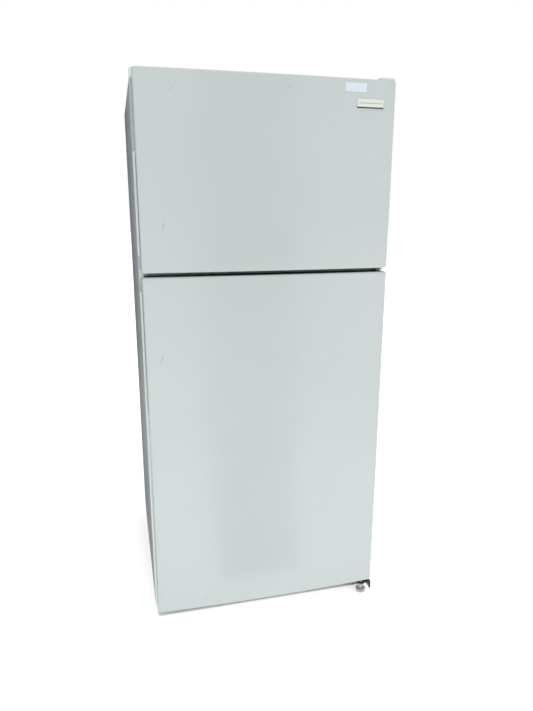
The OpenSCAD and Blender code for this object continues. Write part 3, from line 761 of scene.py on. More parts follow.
class Door:
    """Places of one door, read from its nodes."""

    def __init__(self, name):
        size = sizes()
        self.name = name
        low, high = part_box(f"{name}_door_skin")
        self.x = high.x
        self.z = (low.z, high.z)
        self.back = high.y
        self.edge = low.y + size.crown
        self.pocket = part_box(f"{name}_grip")

    def node(self, part):
        return f"{self.name}_door_{part}"

    def face(self, x):
        return self.edge - sizes().crown * (1 - (x / self.x) ** 2)

    def plan(self, inset, columns=48, steps=8):
        """Open plan outline from the left rear return, round the face, to the right rear return."""
        size = sizes()
        front = size.edge_radius - inset
        rear = size.rear_radius - inset
        x = self.x - inset
        back = self.back - inset
        side = []
        for i in range(steps + 1):      # right rear corner, read from the return to the wall
            angle = math.radians(90 - 90 * i / steps)
            side.append((x - rear + rear * math.cos(angle), back - rear + rear * math.sin(angle)))
        middle = self.face(x - front) + inset + front
        for i in range(steps + 1):      # right front corner, read from the wall to the face
            angle = math.radians(-72 * i / steps)
            side.append((x - front + front * math.cos(angle), middle + front * math.sin(angle)))
        side = [(self.x - RETURN, back)] + side
        across = []
        for i in range(1, columns):
            px = (x - front) * (1 - 2 * i / columns)
            across.append((px, self.face(px) + inset))
        right_to_left = side + across + [(-px, py) for px, py in reversed(side)]
        return list(reversed(right_to_left))

    def rows(self, steps=6):
        """(height, inset) of each ring, rounded at both ends, with a ring at each pocket edge."""
        r = sizes().end_radius
        curve = [(r * (1 - math.cos(math.pi / 2 * i / steps)), r * (1 - math.sin(math.pi / 2 * i / steps)))
                 for i in range(steps + 1)]
        low, high = self.pocket_heights()
        inner = sorted({low, high, *self.spread(self.z[0] + r, self.z[1] - r, (low, high))})
        return ([(self.z[0] + h, inset) for h, inset in curve]
                + [(z, 0.0) for z in inner]
                + [(self.z[1] - h, inset) for h, inset in reversed(curve)])

    def spread(self, low, high, keep, pitch=16 * MM):
        count = max(2, round((high - low) / pitch))
        heights = [low + (high - low) * i / count for i in range(1, count)]
        return [z for z in heights if all(abs(z - k) > 0.3 * pitch for k in keep)]

    def pocket_heights(self):
        """Lowest and highest point of the finger pocket cut in the left side."""
        heights = [v.co.z for v in NODES[f"{self.name}_grip"].data.vertices if v.co.x > MM - self.x]
        return min(heights), max(heights)


def wave(x, z):
    """Shallow unevenness of sheet steel, from 0 to 1."""
    broad = noise.noise(Vector((x * 5.0, z * 3.2, 0.7)))
    small = noise.noise(Vector((x * 13.0, z * 9.0, 4.2)))
    return min(1.0, max(0.0, 0.5 + 0.5 * broad + 0.18 * small))


def dent(x, z):
    """Small dings in the doors, as a share of 1 mm."""
    dings = ((-0.222, 0.082, 0.012, 0.5), (-0.205, 0.074, 0.008, 0.35), (0.12, 1.32, 0.03, 0.2))
    return sum(depth * math.exp(-((x - dx) ** 2 + (z - dz) ** 2) / reach ** 2)
               for dx, dz, reach, depth in dings)


def door_skin(door):
    """A door's steel, with shallow waves that fade out towards its side edges."""
    size = sizes()
    flat = door.x - 2 * size.edge_radius
    fade_out = 30 * MM
    slack = 0.001 * MM
    rings = []
    for z, inset in door.rows():
        ring = []
        for x, y in door.plan(inset):
            on_face = y < door.edge + 4 * MM and abs(x) < flat
            push = (size.waviness * wave(x, z) + MM * dent(x, z)) if on_face and not inset else 0.0
            fade = min(1.0, (flat - abs(x)) / fade_out) if on_face else 0.0
            ring.append(Vector((x, y + push * max(0.0, fade), z)))
        rings.append(ring)
    low, high = door.pocket_heights()
    outline = door.plan(0.0)
    wall = [j for j in range(len(outline) - 1)
            if outline[j][0] < 0 and abs(outline[j][0] + door.x) < 0.01 * MM
            and abs(outline[j + 1][0] + door.x) < 0.01 * MM]
    heights = [z for z, _ in door.rows()]

    def cut(i, j):
        return j in wall and low - slack <= heights[i] and heights[i + 1] <= high + slack

    return loft(rings, "door_paint", closed=False, thickness=size.sheet, skip=cut)


class DoorSkins(bpy.types.Operator):
    """Steel skins: crowned faces, rounded edges and rear returns."""

    bl_idname = "fridge.door_skins"
    bl_label = "Door skins"

    def execute(self, context):
        for name in DOORS:
            door = Door(name)
            piece(f"{name}_door_panel", [door_skin(door)], door.node("skin"))
        return {"FINISHED"}


def end_cap(door, low, high, finish_name):
    """A moulded plug that closes one end of a door inside its rounded edge."""
    inset = sizes().end_radius - 0.3 * MM
    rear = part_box(door.node("liner"))[0].y
    outline = [(x, min(y, rear)) for x, y in door.plan(inset, columns=32, steps=6)]
    soften = 1 * MM
    rings = []
    for z, shrink in ((low, soften), (low + soften, 0.0), (high - soften, 0.0), (high, soften)):
        rings.append([Vector((x * (1 - shrink / door.x), y + (shrink if y < door.edge else 0.0), z))
                      for x, y in outline])
    return loft(rings, finish_name, caps=(True, True))


COLLAR = ((6.1 * MM, 3 * MM), (6.1 * MM, 0.0), (8 * MM, 0.0), (9 * MM, 0.6 * MM), (9 * MM, 3 * MM))


def hinge_axis(name):
    joint = next(j for j in frame["joints"] if j["name"] == f"{name}_door_hinge")
    return Vector(joint["pos_m"])


class DoorEnds(bpy.types.Operator):
    """Moulded end caps with a collar round each hinge pin, and the upper left ear."""

    bl_idname = "fridge.door_ends"
    bl_label = "Door ends"

    def execute(self, context):
        for name in DOORS:
            door = Door(name)
            low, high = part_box(door.node("caps"))
            tall = 14 * MM
            sunk = 0.4 * MM
            pin = hinge_axis(name)
            # The caps that face each other across the gap between the doors get the dark finish: painted shade of
            # the gap.
            lower, upper = ("painted_gap_shade", "white_plastic")
            if name == "fridge":
                lower, upper = upper, lower
            parts = [end_cap(door, door.z[0] + sunk, door.z[0] + tall, lower),
                     end_cap(door, door.z[1] - tall, door.z[1] - sunk, upper)]
            for z, up in ((door.z[0], 1), (door.z[1], -1)):
                parts.append(lathe(COLLAR, (pin.x, pin.y, z), (0, 0, up), "white_plastic", steps=32))
            if low.x < -door.x - MM:
                parts.append(block((low.x, door.edge + 12 * MM, high.z - 24 * MM),
                                   (-door.x + MM, door.back - POCKET_REAR, high.z - MM), 1.6 * MM,
                                   "white_plastic"))
            piece(f"{name}_end_caps", parts, door.node("caps"))
        return {"FINISHED"}


def door_lining(door):
    """The moulded inner panel, whose raised rim stands round the shelves."""
    low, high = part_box(door.node("liner"))
    size = sizes()
    crest = [v.co for v in NODES[door.node("liner")].data.vertices if v.co.y > high.y - 0.01 * MM]
    rim_z = (min(p.z for p in crest), max(p.z for p in crest))
    rim_x = max(p.x for p in crest)
    wide = size.dike

    def ring(out, y, radius):
        return rounded_rectangle((-rim_x + out, rim_x - out), (rim_z[0] + out, rim_z[1] - out),
                                 max(radius, 0.5 * MM), y)

    top = high.y
    base = door.back
    root, shoulder = 3 * MM, 3.5 * MM      # a rounder shoulder would bare the foam beneath
    foot = 4 * MM
    rings = [rounded_rectangle((-door.x + 16.5 * MM, door.x - 16.5 * MM),
                               (door.z[0] + 0.6 * MM, door.z[1] - 0.6 * MM), 9 * MM, base)]
    rings.append(ring(-root - 1 * MM, base, 6 * MM))
    rings += [ring(-root * rise, base + root * run, 3 * MM) for run, rise in quarter(4)]
    rings += [ring(shoulder * run, top - shoulder * rise, 2.5 * MM) for run, rise in quarter(6)]
    rings += [ring(wide - shoulder * run, top - shoulder * rise, 12 * MM)
              for run, rise in reversed(quarter(6))]
    rings += [ring(wide + foot * run, base + foot * rise, 10 * MM) for run, rise in quarter(4)]
    return loft(rings, "liner_plastic", caps=(False, True), thickness=-1.2 * MM)


class DoorLinings(bpy.types.Operator):
    """Moulded inner panels of both doors."""

    bl_idname = "fridge.door_linings"
    bl_label = "Door linings"

    def execute(self, context):
        for name in DOORS:
            door = Door(name)
            piece(f"{name}_door_lining", [door_lining(door)], door.node("liner"))
        return {"FINISHED"}


def gasket_profile(depth):
    """(outward, depth) points of a bellows seal: a foot, two folds and a magnet pocket."""
    return [(2.0 * MM, 0.0), (12.0 * MM, 0.0), (12.6 * MM, 0.22 * depth), (11.2 * MM, 0.36 * depth),
            (13.6 * MM, 0.50 * depth), (14.0 * MM, 0.74 * depth), (13.2 * MM, depth),
            (3.2 * MM, depth), (0.4 * MM, 0.86 * depth), (0.0, 0.62 * depth), (2.0 * MM, 0.42 * depth),
            (0.8 * MM, 0.24 * depth)]


class Gaskets(bpy.types.Operator):
    """Magnetic door seals with their bellows folds."""

    bl_idname = "fridge.gaskets"
    bl_label = "Gaskets"

    def execute(self, context):
        for name in DOORS:
            node = f"{name}_door_gasket"
            low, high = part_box(node)
            rings = []
            for out, y in gasket_profile(high.y - low.y):
                reach = 14 * MM - out
                rings.append(rounded_rectangle((low.x + reach, high.x - reach),
                                               (low.z + reach, high.z - reach), 5 * MM, low.y + y, 4))
            piece(f"{name}_seal", [loft(rings, "gasket_vinyl", looped=True)], node)
        return {"FINISHED"}


def grip(door):
    """Lip and pocket of a side grip: an inward tray whose rear edge stands proud as a rail."""
    low, high = door.pocket
    bottom, top = door.pocket_heights()
    front = door.edge + POCKET_FRONT
    rear = door.back - POCKET_REAR
    rail = rear - 12 * MM
    floor = -door.x + 20 * MM
    rings = [
        rounded_side(-door.x, (front, rail), (bottom, top), 2.5 * MM),
        rounded_side(-door.x + 0.8 * MM, (front + 1.2 * MM, rail), (bottom + 1.2 * MM, top - 1.2 * MM),
                     3 * MM),
        rounded_side(floor - 2.5 * MM, (front + 2.2 * MM, rail), (bottom + 2.2 * MM, top - 2.2 * MM), 4 * MM),
        rounded_side(floor, (front + 5 * MM, rail - 2 * MM), (bottom + 5 * MM, top - 5 * MM), 4 * MM)]
    hollow = loft(rings, "white_plastic", caps=(False, True), thickness=-1.2 * MM)
    lip = block((low.x, rail, low.z), (-door.x + 6 * MM, rear, high.z), 3 * MM, "white_plastic", 4)
    return [hollow, lip]


def rounded_side(x, y, z, radius, steps=5):
    """Points of a rounded rectangle in side view at x, its front edge first."""
    points = []
    for cy, cz, start in ((y[0] + radius, z[0] + radius, 180), (y[1] - radius, z[0] + radius, 270),
                          (y[1] - radius, z[1] - radius, 0), (y[0] + radius, z[1] - radius, 90)):
        for i in range(steps + 1):
            angle = math.radians(start + 90 * i / steps)
            points.append(Vector((x, cy + radius * math.cos(angle), cz + radius * math.sin(angle))))
    return points


class Grips(bpy.types.Operator):
    """Side grips: proud rails with a finger pocket in front."""

    bl_idname = "fridge.grips"
    bl_label = "Side grips"

    def execute(self, context):
        for name in DOORS:
            piece(f"{name}_side_grip", grip(Door(name)), f"{name}_grip")
        return {"FINISHED"}


class Badge(bpy.types.Operator):
    """Badge plate with its dark edge, and the paper label above it."""

    bl_idname = "fridge.badge"
    bl_label = "Badge and label"

    def execute(self, context):
        door = Door("freezer")
        low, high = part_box("badge_plate")
        x = (low.x, high.x)
        split = low.z + 3 * MM
        piece("badge", [curved_plate(door, x, (split, high.z), 1.8 * MM, "badge_metal"),
                        curved_plate(door, x, (low.z, split), 2.0 * MM, "badge_stripe")], "badge_plate")
        low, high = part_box("paper_label")
        paper = curved_plate(door, (low.x, high.x), (low.z, high.z), 0.35 * MM, "label_paper", 1.2 * MM)
        piece("label", [paper], "paper_label")
        return {"FINISHED"}


def curved_plate(door, x, z, thick, finish_name, curl=0.0, steps=16):
    """A plate that follows the face, its edges eased and its upper right corner lifted by curl."""
    grid = []
    for k in range(steps + 1):
        tz = k / steps
        row_points = []
        for i in range(steps + 1):
            tx = i / steps
            px = x[0] + (x[1] - x[0]) * tx
            lift = curl * max(0.0, tx + tz - 1.45) / 0.55
            row_points.append(Vector((px, door.face(px) - lift, z[0] + (z[1] - z[0]) * tz)))
        grid.append(row_points)
    shape = bmesh.new()
    verts = [[shape.verts.new(p) for p in row_points] for row_points in grid]
    for k in range(steps):
        for i in range(steps):
            shape.faces.new((verts[k][i], verts[k][i + 1], verts[k + 1][i + 1], verts[k + 1][i]))
    shape.normal_update()
    bmesh.ops.solidify(shape, geom=shape.faces[:], thickness=-thick)
    if thick > MM:
        rim = [e for e in shape.edges if len(e.link_faces) == 2 and e.calc_face_angle(0.0) > 1.0]
        bmesh.ops.bevel(shape, geom=rim, offset=0.5 * MM, segments=2, profile=0.5, affect="EDGES",
                        clamp_overlap=True)
    bmesh.ops.recalc_face_normals(shape, faces=shape.faces[:])
    return to_mesh(shape, finish_name)


def bin_shell(low, high, wall, finish_name, ribs=0):
    """An open tray with rounded corners, a rolled rim and optional ribs on its front."""
    x, y = (low.x, high.x), (low.y, high.y)

    def ring(out, z, radius):
        return [Vector((p.x, p.z, z)) for p in rounded_rectangle(
            (x[0] + out, x[1] - out), (y[0] + out, y[1] - out), max(radius, 0.4 * MM), 0.0)]

    r = 8 * MM
    rings = [ring(r * 0.55, low.z, r * 0.5), ring(r * 0.12, low.z + r * 0.28, r * 0.9),
             ring(0.0, low.z + r, r), ring(0.0, high.z - 3 * MM, r), ring(0.0, high.z - 0.8 * MM, r),
             ring(0.8 * MM, high.z, r), ring(wall, high.z, r - wall),
             ring(wall + 0.4 * MM, high.z - 1.2 * MM, r - wall), ring(wall, low.z + r, r - wall),
             ring(wall + r * 0.3, low.z + wall + 0.6 * MM, r * 0.6),
             ring(wall + r * 0.7, low.z + wall, r * 0.3)]
    parts = [loft(rings, finish_name, caps=(True, True))]
    if ribs:
        step = (x[1] - x[0] - 60 * MM) / (ribs - 1)
        parts.append(bars(finish_name, ribs, (x[0] + 30 * MM, y[1] - wall - 0.6 * MM, (low.z + high.z) / 2),
                          (step, 0.0, 0.0), 1.1 * MM, (high.z - low.z) * 0.62))
    return parts


class DoorBins(bpy.types.Operator):
    """Door shelves, and the dairy box with its clear flap."""

    bl_idname = "fridge.door_bins"
    bl_label = "Door bins and dairy box"

    def execute(self, context):
        for name in DOORS:
            parts = []
            for low, high in islands(f"{name}_door_bins"):
                parts += bin_shell(low, high, 2.2 * MM, "clear_plastic", ribs=9)
            piece(f"{name}_bins", parts, f"{name}_door_bins")
        eased(0.8 * MM, "dairy_box", "dairy_lid")
        return {"FINISHED"}


# ---------------------------------------------------------------- cabinet


def arch(inset, x, z, radius, y, steps=6):
    """An upside down U in front view at depth y, moved inwards by inset."""
    wide, top = x - inset, z[1] - inset
    r = max(radius - inset, 0.3 * MM)
    points = [Vector((-wide, y, z[0])), Vector((-wide, y, (z[0] + top) / 2))]
    for cx, start in ((-wide + r, 180), (wide - r, 90)):
        for i in range(steps + 1):
            angle = math.radians(start - 90 * i / steps)
            points.append(Vector((cx + r * math.cos(angle), y, top - r + r * math.sin(angle))))
    return points + [Vector((wide, y, (z[0] + top) / 2)), Vector((wide, y, z[0]))]


def cabinet_wrap():
    """One folded sheet: sides and top, with the fold round the front."""
    size = sizes()
    low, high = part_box("cabinet_shell")
    z = (low.z, high.z)
    corner = size.bend + 0.5 * MM
    depth = high.y - low.y
    rings = [arch(0.0, high.x, z, corner, high.y - depth * i / 8) for i in range(8)]
    rings += [arch(size.bend * run, high.x, z, corner, low.y + size.bend * rise)
              for run, rise in quarter(5)]
    rings.append(arch(size.flange, high.x, z, corner, low.y))
    return loft(rings, "white_steel", closed=False, thickness=-size.sheet)


def pressed_panel():
    """The back sheet: a recessed border, and long stiffening grooves pressed inwards."""
    low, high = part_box("cabinet_back")
    grooves = [low.x + (high.x - low.x) * t for t in (0.2, 0.4, 0.6, 0.8)]
    sunk = 0.42 * MM              # deeper would bare the foam beneath
    border, slope = 18 * MM, 6 * MM
    groove_half, groove_end = 7 * MM, 90 * MM

    def depth(x, z):
        from_rim = min(x - low.x, high.x - x, z - low.z, high.z - z)
        edge = sunk * max(0.0, 1.0 - max(0.0, from_rim - border) / slope)
        inner = 1.0 if groove_end < z - low.z < high.z - low.z - groove_end else 0.0
        near = min(abs(x - g) for g in grooves)
        return max(edge, inner * sunk * max(0.0, 1.0 - (near / groove_half) ** 2))

    xs = set()
    for g in grooves:
        xs |= {g + 2.3 * MM * k for k in range(-4, 5)}
    for step in (0, 12, 18, 24, 40):
        xs |= {low.x + step * MM, high.x - step * MM}
    xs |= {low.x + (high.x - low.x) * t / 24 for t in range(25)}
    count = 56
    zs = sorted({low.z, high.z, low.z + 18 * MM, high.z - 18 * MM, low.z + 24 * MM, high.z - 24 * MM,
                 *(low.z + (high.z - low.z) * i / count for i in range(1, count))})
    rings = [[Vector((x, high.y - depth(x, z), z)) for x in sorted(xs)] for z in zs]
    return loft(rings, "back_steel", closed=False, thickness=-0.25 * MM)


class Cabinet(bpy.types.Operator):
    """Folded cabinet sheet, pressed back, base pan and front rails."""

    bl_idname = "fridge.cabinet"
    bl_label = "Cabinet"

    def execute(self, context):
        piece("cabinet_wrap", [cabinet_wrap()], "cabinet_shell")
        low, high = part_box("cabinet_back")
        head = 0.6 * MM
        seat = high.y - 0.62 * MM
        inset, end = 9 * MM, 12 * MM
        points = [(x, seat, low.z + end + (high.z - low.z - 2 * end) * k / 7)
                  for x in (low.x + inset, high.x - inset) for k in range(8)]
        points += [(low.x + (high.x - low.x) * k / 6, seat, z)
                   for z in (low.z + inset, high.z - inset) for k in range(1, 6)]
        heads = scatter(screw_head(4.5 * MM, head, "zinc_steel"), "zinc_steel", points, FACING["+Y"])
        piece("back_panel", [pressed_panel(), heads], "cabinet_back")
        eased(0.35 * MM, "base_pan", "front_rails")
        return {"FINISHED"}


def compartment(node, step=None):
    """A moulded tub: front flange, rounded mouth, drafted walls and a rounded back.

    step is the (y, z) of the corner where the floor rises over the machine bay.
    """
    size = sizes()
    low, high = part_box(node)
    deep = [v.co for v in NODES[node].data.vertices if v.co.y > low.y + 30 * MM]
    inner_x = max(p.x for p in deep) - LINER_WALL
    z = (min(p.z for p in deep) + LINER_WALL, max(p.z for p in deep) - LINER_WALL)
    back = high.y - LINER_WALL
    rings = [rounded_rectangle((low.x, high.x), (low.z, high.z), 1 * MM, low.y)]
    for run, rise in quarter(5):
        out = size.mouth * rise
        rings.append(rounded_rectangle((-inner_x - out, inner_x + out), (z[0] - out, z[1] + out),
                                       size.corner + out, low.y + size.mouth * run))
    floors = [(low.y + 60 * MM, z[0])]
    if step:
        y, top = step
        fillet = 14 * MM
        turns = [math.radians(degrees) for degrees in (30, 60, 90)]
        floors.append((y - fillet, z[0]))
        floors += [(y - fillet + fillet * math.sin(a), z[0] + fillet * (1 - math.cos(a))) for a in turns]
        floors.append((y, top - fillet))
        floors += [(y + fillet * (1 - math.cos(a)), top - fillet + fillet * math.sin(a)) for a in turns]
    last = floors[-1][1]
    floors.append((back - 20 * MM, last))
    rings += [rounded_rectangle((-inner_x, inner_x), (floor, z[1]), size.corner, y) for y, floor in floors]
    bulge = 16 * MM
    for i in range(1, 6):
        angle = math.radians(18 * i)
        out = bulge * (1 - math.cos(angle))
        rings.append(rounded_rectangle((-inner_x + out, inner_x - out), (last + out, z[1] - out),
                                       size.corner - out * 0.6, back - bulge + bulge * math.sin(angle)))
    return loft(rings, "liner_plastic", caps=(False, True), thickness=0.8 * LINER_WALL)


def ledges(node, reach):
    """Shelf ledges of a compartment: each ridge of the node that stands in from its side wall."""
    corners = [v.co for v in NODES[node].data.vertices]
    inner = max(p.x for p in corners if p.y > 0) - LINER_WALL
    near = 0.3 * MM
    ridge = [p for p in corners if abs(p.x - (inner - reach)) < near]
    edges = sorted({round(p.z, 4) for p in ridge if p.y < 310 * MM})
    parts = []
    for bottom, top in zip(edges[::2], edges[1::2]):
        ys = [p.y for p in ridge if abs(p.z - top) < near]
        for side in (-1, 1):
            x = sorted((side * (inner - reach), side * (inner + 0.5 * MM)))
            parts.append(block((x[0], min(ys), bottom), (x[1], max(ys), top), 2 * MM, "liner_plastic"))
    return parts


class Linings(bpy.types.Operator):
    """Moulded compartments of the cabinet, and the cover of the evaporator with its air slots."""

    bl_idname = "fridge.linings"
    bl_label = "Compartment linings"

    def execute(self, context):
        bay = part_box("base_pan")[1]
        step_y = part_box("crisper_cover")[1].y + 4 * MM
        step_z = bay.z + 42 * MM
        piece("fresh_food_lining",
              [compartment("fresh_food_liner", (step_y, step_z)),
               *ledges("fresh_food_liner", 8 * MM), *ledges("fresh_food_liner", 11 * MM)],
              "fresh_food_liner")
        piece("freezer_lining", [compartment("freezer_liner"), *ledges("freezer_liner", 8 * MM)],
              "freezer_liner")
        eased(0.8 * MM, "evaporator_cover")
        return {"FINISHED"}


# ---------------------------------------------------------------- hinges, legs and base


class Hinges(bpy.types.Operator):
    """Hinge plates and pins, the hinge cover and the plug over the spare hinge holes."""

    bl_idname = "fridge.hinges"
    bl_label = "Hinges"

    def execute(self, context):
        eased(0.5 * MM, "top_hinge", "centre_hinge", "bottom_hinge")
        eased(1.2 * MM, "top_hinge_cover", segments=3)
        low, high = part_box("hinge_hole_cover")
        dimple = [(1.2 * MM, 0.0), (3.2 * MM, 0.0), (4.0 * MM, 0.25 * MM), (2.4 * MM, 0.6 * MM)]
        dots = [lathe(dimple, (low.x + 13 * MM, low.y + 1.1 * MM, (low.z + high.z) / 2 + d), (0, -1, 0),
                      "white_plastic", steps=24) for d in (-8 * MM, 8 * MM)]
        piece("hinge_hole_plug", [block(low, high, 1.2 * MM, "white_plastic"), *dots], "hinge_hole_cover")
        return {"FINISHED"}


class Screws(bpy.types.Operator):
    """Cross recessed screws of the hinges and foot brackets."""

    bl_idname = "fridge.screws"
    bl_label = "Hinge screws"

    def execute(self, context):
        found = islands("hinge_screws")
        groups = {"+Z": [], "-Z": [], "-Y": []}
        for low, high in found:
            middle = (low + high) / 2
            if high.y - low.y < 6 * MM:
                groups["-Y"].append((middle.x, high.y - 2.5 * MM, middle.z))
            elif middle.z > 1.0:
                groups["+Z"].append((middle.x, middle.y, high.z - 3.4 * MM))
            else:
                groups["-Z"].append((middle.x, middle.y, low.z + 3.4 * MM))
        tall = {"+Z": (6, 3.3), "-Z": (6, 3.3), "-Y": (5, 0.55)}
        parts = [scatter(screw_head(tall[way][0] * MM, tall[way][1] * MM, "zinc_steel"), "zinc_steel",
                         points, FACING[way]) for way, points in groups.items() if points]
        piece("hinge_screw_heads", parts, "hinge_screws")
        return {"FINISHED"}


def leg(node):
    """A levelling leg: fluted pad, flange, hexagon neck and threaded stem."""
    low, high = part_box(node)
    centre = ((low.x + high.x) / 2, (low.y + high.y) / 2, 0.0)
    pad = (high.x - low.x) / 2
    foot = [(0.4 * pad, 0.0), (0.86 * pad, 0.0), (pad, 1.6 * MM), (pad, 11.6 * MM), (0.93 * pad, 13.4 * MM),
            (11.5 * MM, 14 * MM), (11.5 * MM, 15.9 * MM), (10.9 * MM, 16.5 * MM), (9.0 * MM, 16.6 * MM)]
    parts = [lathe(foot, centre, (0, 0, 1), "leg_steel", steps=144, lobes=36, depth=0.7 * MM)]
    neck_top = min(high.z, 36 * MM)
    neck = [(9.4 * MM, 16.5 * MM), (9.4 * MM, neck_top - 0.8 * MM), (8.6 * MM, neck_top - 0.4 * MM)]
    parts.append(lathe(neck, centre, (0, 0, 1), "leg_steel", steps=6))
    pitch = 1.5 * MM
    stem = [(5.0 * MM, neck_top - 1 * MM)]
    for i in range(int((high.z - neck_top) / pitch)):
        base = neck_top + pitch * i
        stem += [(5.2 * MM, base), (5.9 * MM, base + pitch / 2)]
    stem += [(5.2 * MM, high.z - 0.6 * MM), (4.6 * MM, high.z)]
    parts.append(lathe(stem, centre, (0, 0, 1), "leg_steel", steps=32))
    return parts


def roller(node):
    """A moulded rear roller: rounded tread, recessed web and hub, closed at both ends."""
    low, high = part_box(node)
    middle = (low + high) / 2
    half = (high.x - low.x) / 2
    r = (high.z - low.z) / 2
    profile = [(4.3 * MM, -half), (7 * MM, -half), (7.6 * MM, -half + 4 * MM), (r - 6 * MM, -half + 4 * MM),
               (r - 5 * MM, -half + 0.5 * MM), (r - 2 * MM, -half), (r - 0.3 * MM, -half + 2.5 * MM),
               (r, 0.0)]
    profile += [(radius, -height) for radius, height in reversed(profile[:-1])]
    return lathe(profile, middle, (1, 0, 0), "dark_plastic", steps=64)


class LegsAndRollers(bpy.types.Operator):
    """Levelling legs in front, rollers and their brackets behind."""

    bl_idname = "fridge.legs_and_rollers"
    bl_label = "Legs and rollers"

    def execute(self, context):
        for side in ("left", "right"):
            piece(f"levelling_leg_{side}", leg(f"leg_{side}"), f"leg_{side}")
            piece(f"rear_roller_{side}", [roller(f"roller_{side}")], f"roller_{side}")
        eased(0.4 * MM, "roller_brackets")
        return {"FINISHED"}


class ToeGrille(bpy.types.Operator):
    """Slotted grille under the fridge door."""

    bl_idname = "fridge.toe_grille"
    bl_label = "Toe grille"

    def execute(self, context):
        low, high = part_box("toe_grille")
        rail = 6 * MM
        side = 15 * MM
        edging = (((low.x, high.x), (low.z, low.z + rail)),
                  ((low.x, high.x), (high.z - rail - 2 * MM, high.z)),
                  ((low.x, low.x + side), (low.z, high.z)),
                  ((high.x - side, high.x), (low.z, high.z)))
        parts = [block((x[0], low.y, z[0]), (x[1], high.y, z[1]), 1.1 * MM, "dark_plastic")
                 for x, z in edging]
        count = 34
        step = (high.x - low.x - 34 * MM) / (count - 1)
        middle = (low.x + 17 * MM, (low.y + high.y) / 2, (low.z + high.z) / 2)
        parts.append(plates("dark_plastic", count, middle, (step, 0.0, 0.0),
                            (6 * MM, 2.4 * MM, high.z - low.z - 8 * MM)))
        piece("toe_grille_slats", parts, "toe_grille")
        return {"FINISHED"}


# ---------------------------------------------------------------- cooling system


class Compressor(bpy.types.Operator):
    """Welded compressor shell with its seam, feet, pipe stubs and terminal box."""

    bl_idname = "fridge.compressor"
    bl_label = "Compressor"

    def execute(self, context):
        low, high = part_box("compressor")
        middle = (low + high) / 2
        top = 248 * MM
        base = 78 * MM
        wide = 74 * MM
        profile = [(0.2 * MM, base)]
        for i in range(8):
            angle = math.radians(90 - 90 * i / 7)
            profile.append((wide - 38 * MM * (1 - math.cos(angle)), base + 38 * MM * (1 - math.sin(angle))))
        seam = 150 * MM
        profile += [(wide, seam - 6 * MM), (wide + 2 * MM, seam - 4 * MM), (wide + 2 * MM, seam + 4 * MM),
                    (wide, seam + 6 * MM)]
        for i in range(9):
            angle = math.radians(90 * i / 8)
            profile.append((wide - 44 * MM * (1 - math.cos(angle)), top - 44 * MM * (1 - math.sin(angle))))
        profile.append((0.2 * MM, top))
        parts = [lathe(profile, (middle.x, middle.y, 0), (0, 0, 1), "black_steel", steps=64)]
        parts.append(block((low.x, low.y, 84 * MM), (high.x, high.y, 88 * MM), 1.4 * MM, "black_steel"))
        for dx in (-86, 86):
            for dy in (-70, 70):
                foot = [(4 * MM, 0.0), (12 * MM, 0.0), (13 * MM, 6 * MM), (10 * MM, 12 * MM),
                        (13 * MM, 18 * MM), (12 * MM, 25 * MM)]
                parts.append(lathe(foot, (middle.x + dx * MM, middle.y + dy * MM, low.z), (0, 0, 1),
                                   "dark_plastic", steps=24))
        parts.append(block((middle.x + 40 * MM, middle.y - 28 * MM, 150 * MM),
                           (middle.x + 90 * MM, middle.y + 28 * MM, 205 * MM), 4 * MM, "dark_plastic"))
        for dy in (-60, 60):
            foot_point = Vector((middle.x - 60 * MM, middle.y + dy * MM, 88 * MM))
            high_point = Vector((foot_point.x, foot_point.y, high.z))
            parts.append(tube([foot_point, high_point], 3.6 * MM, "zinc_steel"))
        piece("compressor_shell", parts, "compressor")
        return {"FINISHED"}


def coil(node, finish_name, fins, rows, bend_out):
    """Fin pack: thin plates pierced by a tube that turns back at both ends."""
    low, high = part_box(node)
    x = (low.x + bend_out, high.x - bend_out)
    parts = [plates(finish_name, fins, (x[0], (low.y + high.y) / 2, (low.z + high.z) / 2),
                    ((x[1] - x[0]) / (fins - 1), 0.0, 0.0),
                    (0.5 * MM, high.y - low.y - 1 * MM, high.z - low.z - 1 * MM))]
    deep = high.y - low.y
    tube_radius = 4 * MM
    tall = (high.z - low.z) / rows
    for column in (0.25, 0.75):
        y = low.y + column * deep
        for j in range(rows):
            z = low.z + (j + 0.5) * tall
            run = [Vector((x[0] - 1 * MM, y, z)), Vector((x[1] + 1 * MM, y, z))]
            parts.append(tube(run, tube_radius, finish_name))
            if j < rows - 1:
                end, out = (x[1], 1) if j % 2 == 0 else (x[0], -1)
                arc = [Vector((end + out * (bend_out - 4.2 * MM) * math.sin(math.pi * t / 10), y,
                               z + tall / 2 - tall / 2 * math.cos(math.pi * t / 10))) for t in range(11)]
                parts.append(tube(arc, tube_radius, finish_name))
    return parts


class Coils(bpy.types.Operator):
    """Evaporator and condenser."""

    bl_idname = "fridge.coils"
    bl_label = "Coils"

    def execute(self, context):
        piece("evaporator_coil", coil("evaporator", "coil_aluminium", 60, 6, 10 * MM), "evaporator")
        piece("condenser_coil", coil("condenser", "dark_coil", 44, 5, 10 * MM), "condenser")
        return {"FINISHED"}


def blade(reach, finish_name):
    """One twisted, cambered blade around the Z axis, from the hub to reach."""
    rings = []
    root = 12 * MM
    for i in range(7):
        t = i / 6
        radius = root + (reach - root) * t
        pitch = math.radians(38 - 18 * t)
        chord = 20 * MM + 8 * MM * math.sin(math.pi * (0.25 + 0.6 * t))
        outline = []
        for k in range(9):
            s = k / 8 - 0.5
            camber = 2.2 * MM * (1 - 4 * s * s)
            outline.append(Vector((radius, s * chord * math.cos(pitch),
                                   s * chord * math.sin(pitch) + camber)))
        rings.append(outline)
    return loft(rings, finish_name, closed=False, thickness=1.1 * MM)


